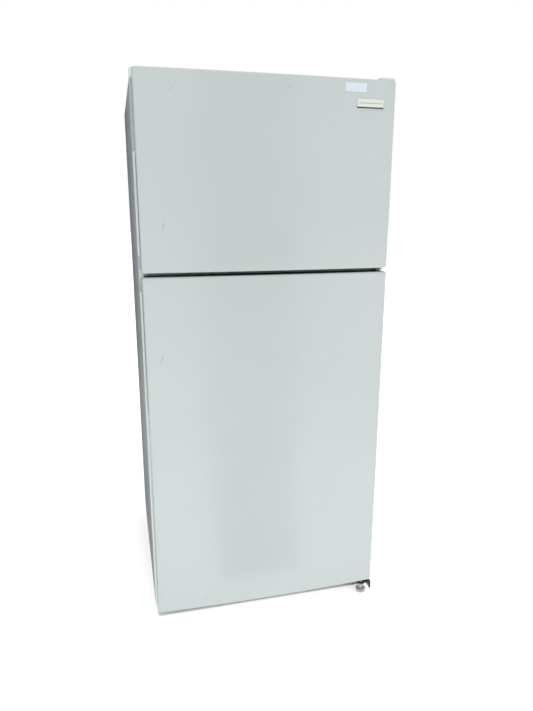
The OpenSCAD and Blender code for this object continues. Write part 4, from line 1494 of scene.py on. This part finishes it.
def fan_wheel(node, axis, finish_name, forward=0.0):
    """Moulded wheel: five blades on a domed hub, moved along its axis by forward."""
    low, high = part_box(node)
    joint = next(j for j in frame["joints"] if j["child"] == BODY[node])
    centre = Vector(joint["pos_m"])
    reach = max(high - low) / 2 - 1.5 * MM
    parts = [wheel(blade(reach, finish_name), finish_name, 5)]
    hub = [(1 * MM, -8 * MM), (6 * MM, -8 * MM), (13 * MM, -7 * MM), (15 * MM, -4 * MM),
           (15 * MM, 6 * MM), (14 * MM, 8 * MM), (2 * MM, 8 * MM)]
    shaft = [(2.9 * MM, 7 * MM), (2.9 * MM, 34 * MM)]
    parts.append(lathe(hub, (0, 0, 0), (0, 0, 1), finish_name, steps=40))
    parts.append(lathe(shaft, (0, 0, 0), (0, 0, 1), "zinc_steel", steps=16))
    turn = Vector((0, 0, 1)).rotation_difference(Vector(axis)).to_matrix().to_4x4()
    offset = centre + Vector(axis) * forward
    for mesh in parts:
        mesh.transform(Matrix.Translation(offset) @ turn)
    return parts


class Fans(bpy.types.Operator):
    """Fan wheels and their motors."""

    bl_idname = "fridge.fans"
    bl_label = "Fans"

    def execute(self, context):
        piece("condenser_fan_wheel", fan_wheel("condenser_fan", (1, 0, 0), "dark_plastic"), "condenser_fan")
        piece("evaporator_fan_wheel",
              fan_wheel("evaporator_fan", (0, 1, 0), "liner_plastic", forward=-14 * MM), "evaporator_fan")
        eased(0.8 * MM, "condenser_fan_motor", "evaporator_fan_motor")
        return {"FINISHED"}


class RearBase(bpy.types.Operator):
    """Louvred rear cover with its screws, and the drain pan."""

    bl_idname = "fridge.rear_base"
    bl_label = "Rear cover and drain pan"

    def execute(self, context):
        low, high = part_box("rear_cover")
        inset = 9 * MM
        points = [(x, high.y - 1.6 * MM, z) for x in (low.x + inset, 0.0, high.x - inset)
                  for z in (low.z + inset, high.z - inset)]
        heads = scatter(screw_head(4.2 * MM, 1.5 * MM, "zinc_steel"), "zinc_steel", points, FACING["+Y"])
        slots = 9
        hood = (188 * MM, 5 * MM, 0.8 * MM)
        tilt = (math.radians(-38), 0.0, 0.0)
        hoods = [plates("back_steel", slots, (side * 215 * MM, low.y - 0.9 * MM, 120 * MM),
                        (0.0, 0.0, 18 * MM), hood, tilt) for side in (-1, 1)]
        piece("rear_cover_louvres", [softened("rear_cover", 0.4 * MM), heads, *hoods], "rear_cover")
        low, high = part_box("drain_pan")
        piece("drain_pan_moulding", bin_shell(low, high, 2 * MM, "dark_plastic"), "drain_pan")
        return {"FINISHED"}


# ---------------------------------------------------------------- fresh food compartment


def knob(node):
    """A control knob: fluted skirt, domed cap, grip bar and a white index line."""
    low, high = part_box(node)
    middle = (low + high) / 2
    front = low.y
    r = (high.x - low.x) / 2
    skirt_back = front + 21.7 * MM
    profile = [(0.3 * MM, -15.7 * MM), (r - 3 * MM, -15.7 * MM), (r - 1 * MM, -13 * MM), (r, -6 * MM),
               (r, 0.0), (2.8 * MM, 0.2 * MM), (2.8 * MM, high.y - skirt_back)]
    parts = [lathe(profile, (middle.x, skirt_back, middle.z), (0, 1, 0), "white_plastic", steps=96,
                   lobes=24, depth=0.5 * MM)]
    parts.append(block((middle.x - 3 * MM, front, low.z + 2 * MM),
                       (middle.x + 3 * MM, front + 8 * MM, high.z - 2 * MM), 1.4 * MM, "white_plastic"))
    parts.append(block((middle.x - 0.6 * MM, front, high.z - 9 * MM),
                       (middle.x + 0.6 * MM, front + 0.4 * MM, high.z - 3.6 * MM), 0.15 * MM, "dark_plastic"))
    return parts


def scale_ticks(knob_node):
    """Printed ticks round a knob, left out where they would run off the housing."""
    low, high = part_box("control_housing")
    knob_low, knob_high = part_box(knob_node)
    centre = (knob_low + knob_high) / 2
    reach = (knob_high.x - knob_low.x) / 2 + 3 * MM
    margin = 2 * MM
    ticks = []
    for i in range(7):
        angle = math.radians(210 - 40 * i)
        spot = Vector((centre.x + reach * math.cos(angle), low.y, centre.z + reach * math.sin(angle)))
        if low.z + margin < spot.z < high.z - margin:
            ticks.append(block(spot - Vector((0.6, -0.05, 0.6)) * MM, spot + Vector((0.6, 0.3, 0.6)) * MM,
                               0.1 * MM, "dark_plastic"))
    return ticks


def lamp():
    """A glass globe on a threaded cap."""
    low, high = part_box("light_bulb")
    middle = (low + high) / 2
    r = 16 * MM
    globe = low.z + r
    profile = [(0.2 * MM, low.z)]
    for i in range(1, 12):
        angle = math.radians(-90 + 140 * i / 11)
        profile.append((r * math.cos(angle), globe + r * math.sin(angle)))
    profile.append((9 * MM, globe + 15 * MM))
    cap = [(9 * MM, globe + 14 * MM)]
    pitch = 1.6 * MM
    for i in range(8):
        cap += [(8.4 * MM, globe + r + pitch * i), (9 * MM, globe + 16.8 * MM + pitch * i)]
    cap.append((6 * MM, high.z))
    place = (middle.x, middle.y, 0)
    return [lathe(profile, place, (0, 0, 1), "bulb_glass"),
            lathe(cap, place, (0, 0, 1), "zinc_steel", steps=32)]


def plunger():
    """The round ended pin of the door switch."""
    low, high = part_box("switch_plunger")
    middle = (low + high) / 2
    r = (high.x - low.x) / 2
    tip = [(0.3 * r, 0.0), (0.8 * r, 0.3 * MM), (r, 1.4 * MM), (r, high.y - low.y)]
    return lathe(tip, (middle.x, low.y, middle.z), (0, 1, 0), "white_plastic", steps=32)


class Controls(bpy.types.Operator):
    """Control housing with its scale ticks, knobs, lamp and door switch."""

    bl_idname = "fridge.controls"
    bl_label = "Controls and lamp"

    def execute(self, context):
        ticks = scale_ticks("freezer_knob") + scale_ticks("fridge_knob")
        piece("control_box", [softened("control_housing", 0.9 * MM), *ticks], "control_housing")
        piece("freezer_control_knob", knob("freezer_knob"), "freezer_knob")
        piece("fridge_control_knob", knob("fridge_knob"), "fridge_knob")
        piece("lamp", lamp(), "light_bulb")
        eased(1.0 * MM, "light_lens", "light_switch")
        piece("light_plunger_pin", [plunger()], "switch_plunger")
        return {"FINISHED"}


class GlassShelves(bpy.types.Operator):
    """Glass shelves in moulded frames, and the crisper cover."""

    bl_idname = "fridge.glass_shelves"
    bl_label = "Glass shelves"

    def execute(self, context):
        panes = [block(low, high, 0.8 * MM, "shelf_glass", 2) for low, high in islands("shelf_glass")]
        piece("shelf_panes", panes, "shelf_glass")
        eased(2.0 * MM, "shelf_frames", "crisper_cover", segments=3)
        return {"FINISHED"}


class WireShelf(bpy.types.Operator):
    """Coated wire shelf of the freezer."""

    bl_idname = "fridge.wire_shelf"
    bl_label = "Wire shelf"

    def execute(self, context):
        low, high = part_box("freezer_shelf")
        rod, wire, count = 3 * MM, 1.6 * MM, 25
        rod_y = low.y + rod
        span = high.y - low.y - 2 * rod
        rods = bars("wire_coating", 3, (0.0, rod_y, (low.z + high.z) / 2), (0.0, span / 2, 0.0), rod,
                    high.x - low.x, (0.0, math.pi / 2, 0.0))
        first = low.x + 5 * MM
        wires = bars("wire_coating", count, (first, rod_y + span / 2, (low.z + high.z) / 2),
                     ((high.x - low.x - 10 * MM) / (count - 1), 0.0, 0.0), wire, span,
                     (math.pi / 2, 0.0, 0.0))
        piece("freezer_wire_shelf", [rods, wires], "freezer_shelf")
        return {"FINISHED"}


class Crispers(bpy.types.Operator):
    """Clear drawers with a rolled rim, runners and a pull on the front."""

    bl_idname = "fridge.crispers"
    bl_label = "Crispers"

    def execute(self, context):
        for side in ("left", "right"):
            node = f"crisper_{side}"
            low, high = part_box(node)
            pull = 6 * MM
            rims = (7 * MM, 9 * MM) if side == "right" else (9 * MM, 7 * MM)
            tub = (Vector((low.x + rims[0], low.y + pull, low.z)), Vector((high.x - rims[1], high.y, high.z)))
            parts = bin_shell(*tub, 2.5 * MM, "clear_plastic")
            for x in ((low.x, tub[0].x + MM), (tub[1].x - MM, high.x)):
                parts.append(block((x[0], tub[0].y + 6 * MM, high.z - 3 * MM), (x[1], high.y, high.z), 1 * MM,
                                   "clear_plastic"))
            parts.append(block((tub[0].x + 60 * MM, low.y, high.z - 34 * MM),
                               (tub[1].x - 60 * MM, tub[0].y + MM, high.z - 26 * MM), 2.5 * MM,
                               "clear_plastic"))
            piece(f"{side}_drawer", parts, node)
        return {"FINISHED"}


class Insulation(bpy.types.Operator):
    """Foam of the cabinet and doors, shown as its nodes with a foam finish."""

    bl_idname = "fridge.insulation"
    bl_label = "Insulation"

    def execute(self, context):
        for node in ("cabinet_foam", "freezer_door_foam", "fridge_door_foam"):
            slots = NODES[node].material_slots
            if not slots:
                NODES[node].data.materials.append(finish("foam"))
            for slot in slots:
                slot.material = finish("foam")
        return {"FINISHED"}


# ---------------------------------------------------------------- stage


def area_light(name, place, target, size, power):
    light = bpy.data.lights.new(name, "AREA")
    light.shape = "RECTANGLE"
    light.size, light.size_y = size
    light.energy = power
    thing = bpy.data.objects.new(name, light)
    thing.location = place
    thing.rotation_euler = (Vector(target) - Vector(place)).to_track_quat("-Z", "Y").to_euler()
    thing.visible_glossy = False
    bpy.context.scene.collection.objects.link(thing)


def card_finish():
    """A dull dark grey that mirrors nothing."""
    graph = Graph("Shade card")
    drift = graph.noise(0.8, 2.0)
    graph.feed(base=graph.tint(drift, (0.05, 0.055, 0.065), (0.08, 0.09, 0.10)), roughness=1.0, specular=0.0)
    return graph.material


def floor_with_painted_shadow():
    """A pale floor that glows towards white, except where the refrigerator stands over it: there the glow is cut
    off as a painted shadow.
    """
    graph = Graph("Floor")
    drift = graph.noise(0.6, 2.0)
    # Footprint of the refrigerator, where the painted shadow cuts off the floor's glow.
    side = abs(graph.axis("X")).ramp(0.370, 0.378, 1.0, 0.0)
    front = graph.axis("Y").ramp(-0.332, -0.328)
    rear = graph.axis("Y").ramp(0.374, 0.382, 1.0, 0.0)
    graph.feed(base=graph.tint(drift, (0.88, 0.88, 0.88), (0.92, 0.92, 0.92)), roughness=1.0, specular=0.0,
               emission=graph.tint(side * front * rear, (1.0, 1.0, 1.0), (0.0, 0.0, 0.0)), glow=0.5)
    return graph.material


def stage_plane(name, corners, material):
    mesh = bpy.data.meshes.new(name)
    mesh.from_pydata(corners, [], [tuple(range(len(corners)))])
    mesh.materials.append(material)
    thing = bpy.data.objects.new(name, mesh)
    bpy.context.scene.collection.objects.link(thing)
    return thing


def card(name, corners, material):
    """A card that shades or is mirrored but is never seen."""
    thing = stage_plane(name, corners, material)
    thing.visible_camera = False
    return thing


def upright_card(name, first, second, heights, material):
    """A standing card between two floor points."""
    low, high = heights
    return card(name, [(*first, low), (*second, low), (*second, high), (*first, high)], material)


def flat_card(name, corners, material):
    """A card that lies just over the floor."""
    lift = 0.012
    return card(name, [(*corner, lift) for corner in corners], material)


def shading_cards():
    """One card shades the left side. The others show only in reflections."""
    shade = card_finish()
    left, side, near, far = -1.15, -0.386, -0.28, 1.9
    front, front_x = -3.4, (0.05, 1.05)
    upright_card("side_card", (left, -0.10), (left, far), (0.3, 2.8), shade)
    mirrored = (
        upright_card("end_card", (left, far), (side, far), (0.01, 3.2), shade),
        upright_card("front_card", (front_x[0], front), (front_x[1], front), (0.0, 3.2), shade),
        flat_card("mat", [(left, near), (side, near), (side, far), (left, far)], shade),
        flat_card("front_mat", [(-0.14, -0.57), (0.16, -0.57), (front_x[1], front), (front_x[0], front)],
                  shade))
    for each in mirrored:
        each.visible_diffuse = False
        each.visible_shadow = False


CAMERA_PLACE = (-0.4380, -2.0593, 1.3417)
CAMERA_TURN = (14.182, 14.344, 0.128)     # degrees to the right, down and of roll


def make_camera():
    lens = bpy.data.cameras.new("camera")
    lens.sensor_fit = "VERTICAL"
    lens.sensor_height = 24.0
    lens.lens = 19.724
    lens.clip_end = 100.0
    camera = bpy.data.objects.new("camera", lens)
    yaw, pitch, roll = (math.radians(a) for a in CAMERA_TURN)
    ahead = Vector((math.sin(yaw) * math.cos(pitch), math.cos(yaw) * math.cos(pitch), -math.sin(pitch)))
    level = Vector((math.cos(yaw), -math.sin(yaw), 0.0))
    up = level.cross(ahead)
    right = level * math.cos(roll) + up * math.sin(roll)
    up = right.cross(ahead)
    turn = Matrix((right, up, -ahead)).transposed().to_4x4()
    camera.matrix_world = Matrix.Translation(CAMERA_PLACE) @ turn
    return camera


class Stage(bpy.types.Operator):
    """Pale floor, soft light, shading cards and the camera."""

    bl_idname = "fridge.stage"
    bl_label = "Stage"

    def execute(self, context):
        scene = context.scene
        scene.view_settings.view_transform = "Standard"
        world = bpy.data.worlds.new("Studio")
        world.use_nodes = True
        background = world.node_tree.nodes["Background"]
        background.inputs["Color"].default_value = (1.0, 1.0, 1.0, 1.0)
        background.inputs["Strength"].default_value = 1.0
        scene.world = world
        reach = 30.0
        stage_plane("floor", [(-reach, -reach, 0), (reach, -reach, 0), (reach, reach, 0), (-reach, reach, 0)],
                    floor_with_painted_shadow())
        shading_cards()
        area_light("top", (0.0, -0.7, 3.2), (0.0, -0.2, 1.7), (2.0, 1.0), 9.0)
        area_light("low_fill", (-0.1, -1.6, 0.3), (0.0, -0.35, 0.15), (1.6, 0.5), 3.4)
        camera = make_camera()
        scene.collection.objects.link(camera)
        scene.camera = camera
        return {"FINISHED"}


# ---------------------------------------------------------------- add-on


STEPS = (Stage, Cabinet, Linings, Insulation, DoorSkins, DoorEnds, DoorLinings, Gaskets, Grips, Badge,
         DoorBins, Hinges, Screws, LegsAndRollers, ToeGrille, Compressor, Coils, Fans, RearBase, Controls,
         GlassShelves, WireShelf, Crispers)


class FridgePanel(bpy.types.Panel):
    """Lists the steps that build the refrigerator."""

    bl_idname = "VIEW3D_PT_fridge"
    bl_label = "Refrigerator"
    bl_space_type = "VIEW_3D"
    bl_region_type = "UI"
    bl_category = "Refrigerator"

    def draw(self, context):
        for group in (context.scene.fridge_sizes, context.scene.fridge_colours):
            for key in group.bl_rna.properties.keys():
                if key not in ("rna_type", "name"):
                    self.layout.prop(group, key)
        for step in STEPS:
            self.layout.operator(step.bl_idname)


CLASSES = (FridgeSizes, FridgeColours, *STEPS, FridgePanel)


def register():
    for each in CLASSES:
        bpy.utils.register_class(each)
    bpy.types.Scene.fridge_sizes = bpy.props.PointerProperty(type=FridgeSizes)
    bpy.types.Scene.fridge_colours = bpy.props.PointerProperty(type=FridgeColours)


def unregister():
    del bpy.types.Scene.fridge_colours
    del bpy.types.Scene.fridge_sizes
    for each in reversed(CLASSES):
        bpy.utils.unregister_class(each)


def main():
    register()
    for step in STEPS:
        group, name = step.bl_idname.split(".")
        getattr(getattr(bpy.ops, group), name)()


if __name__ == "__main__":
    main()
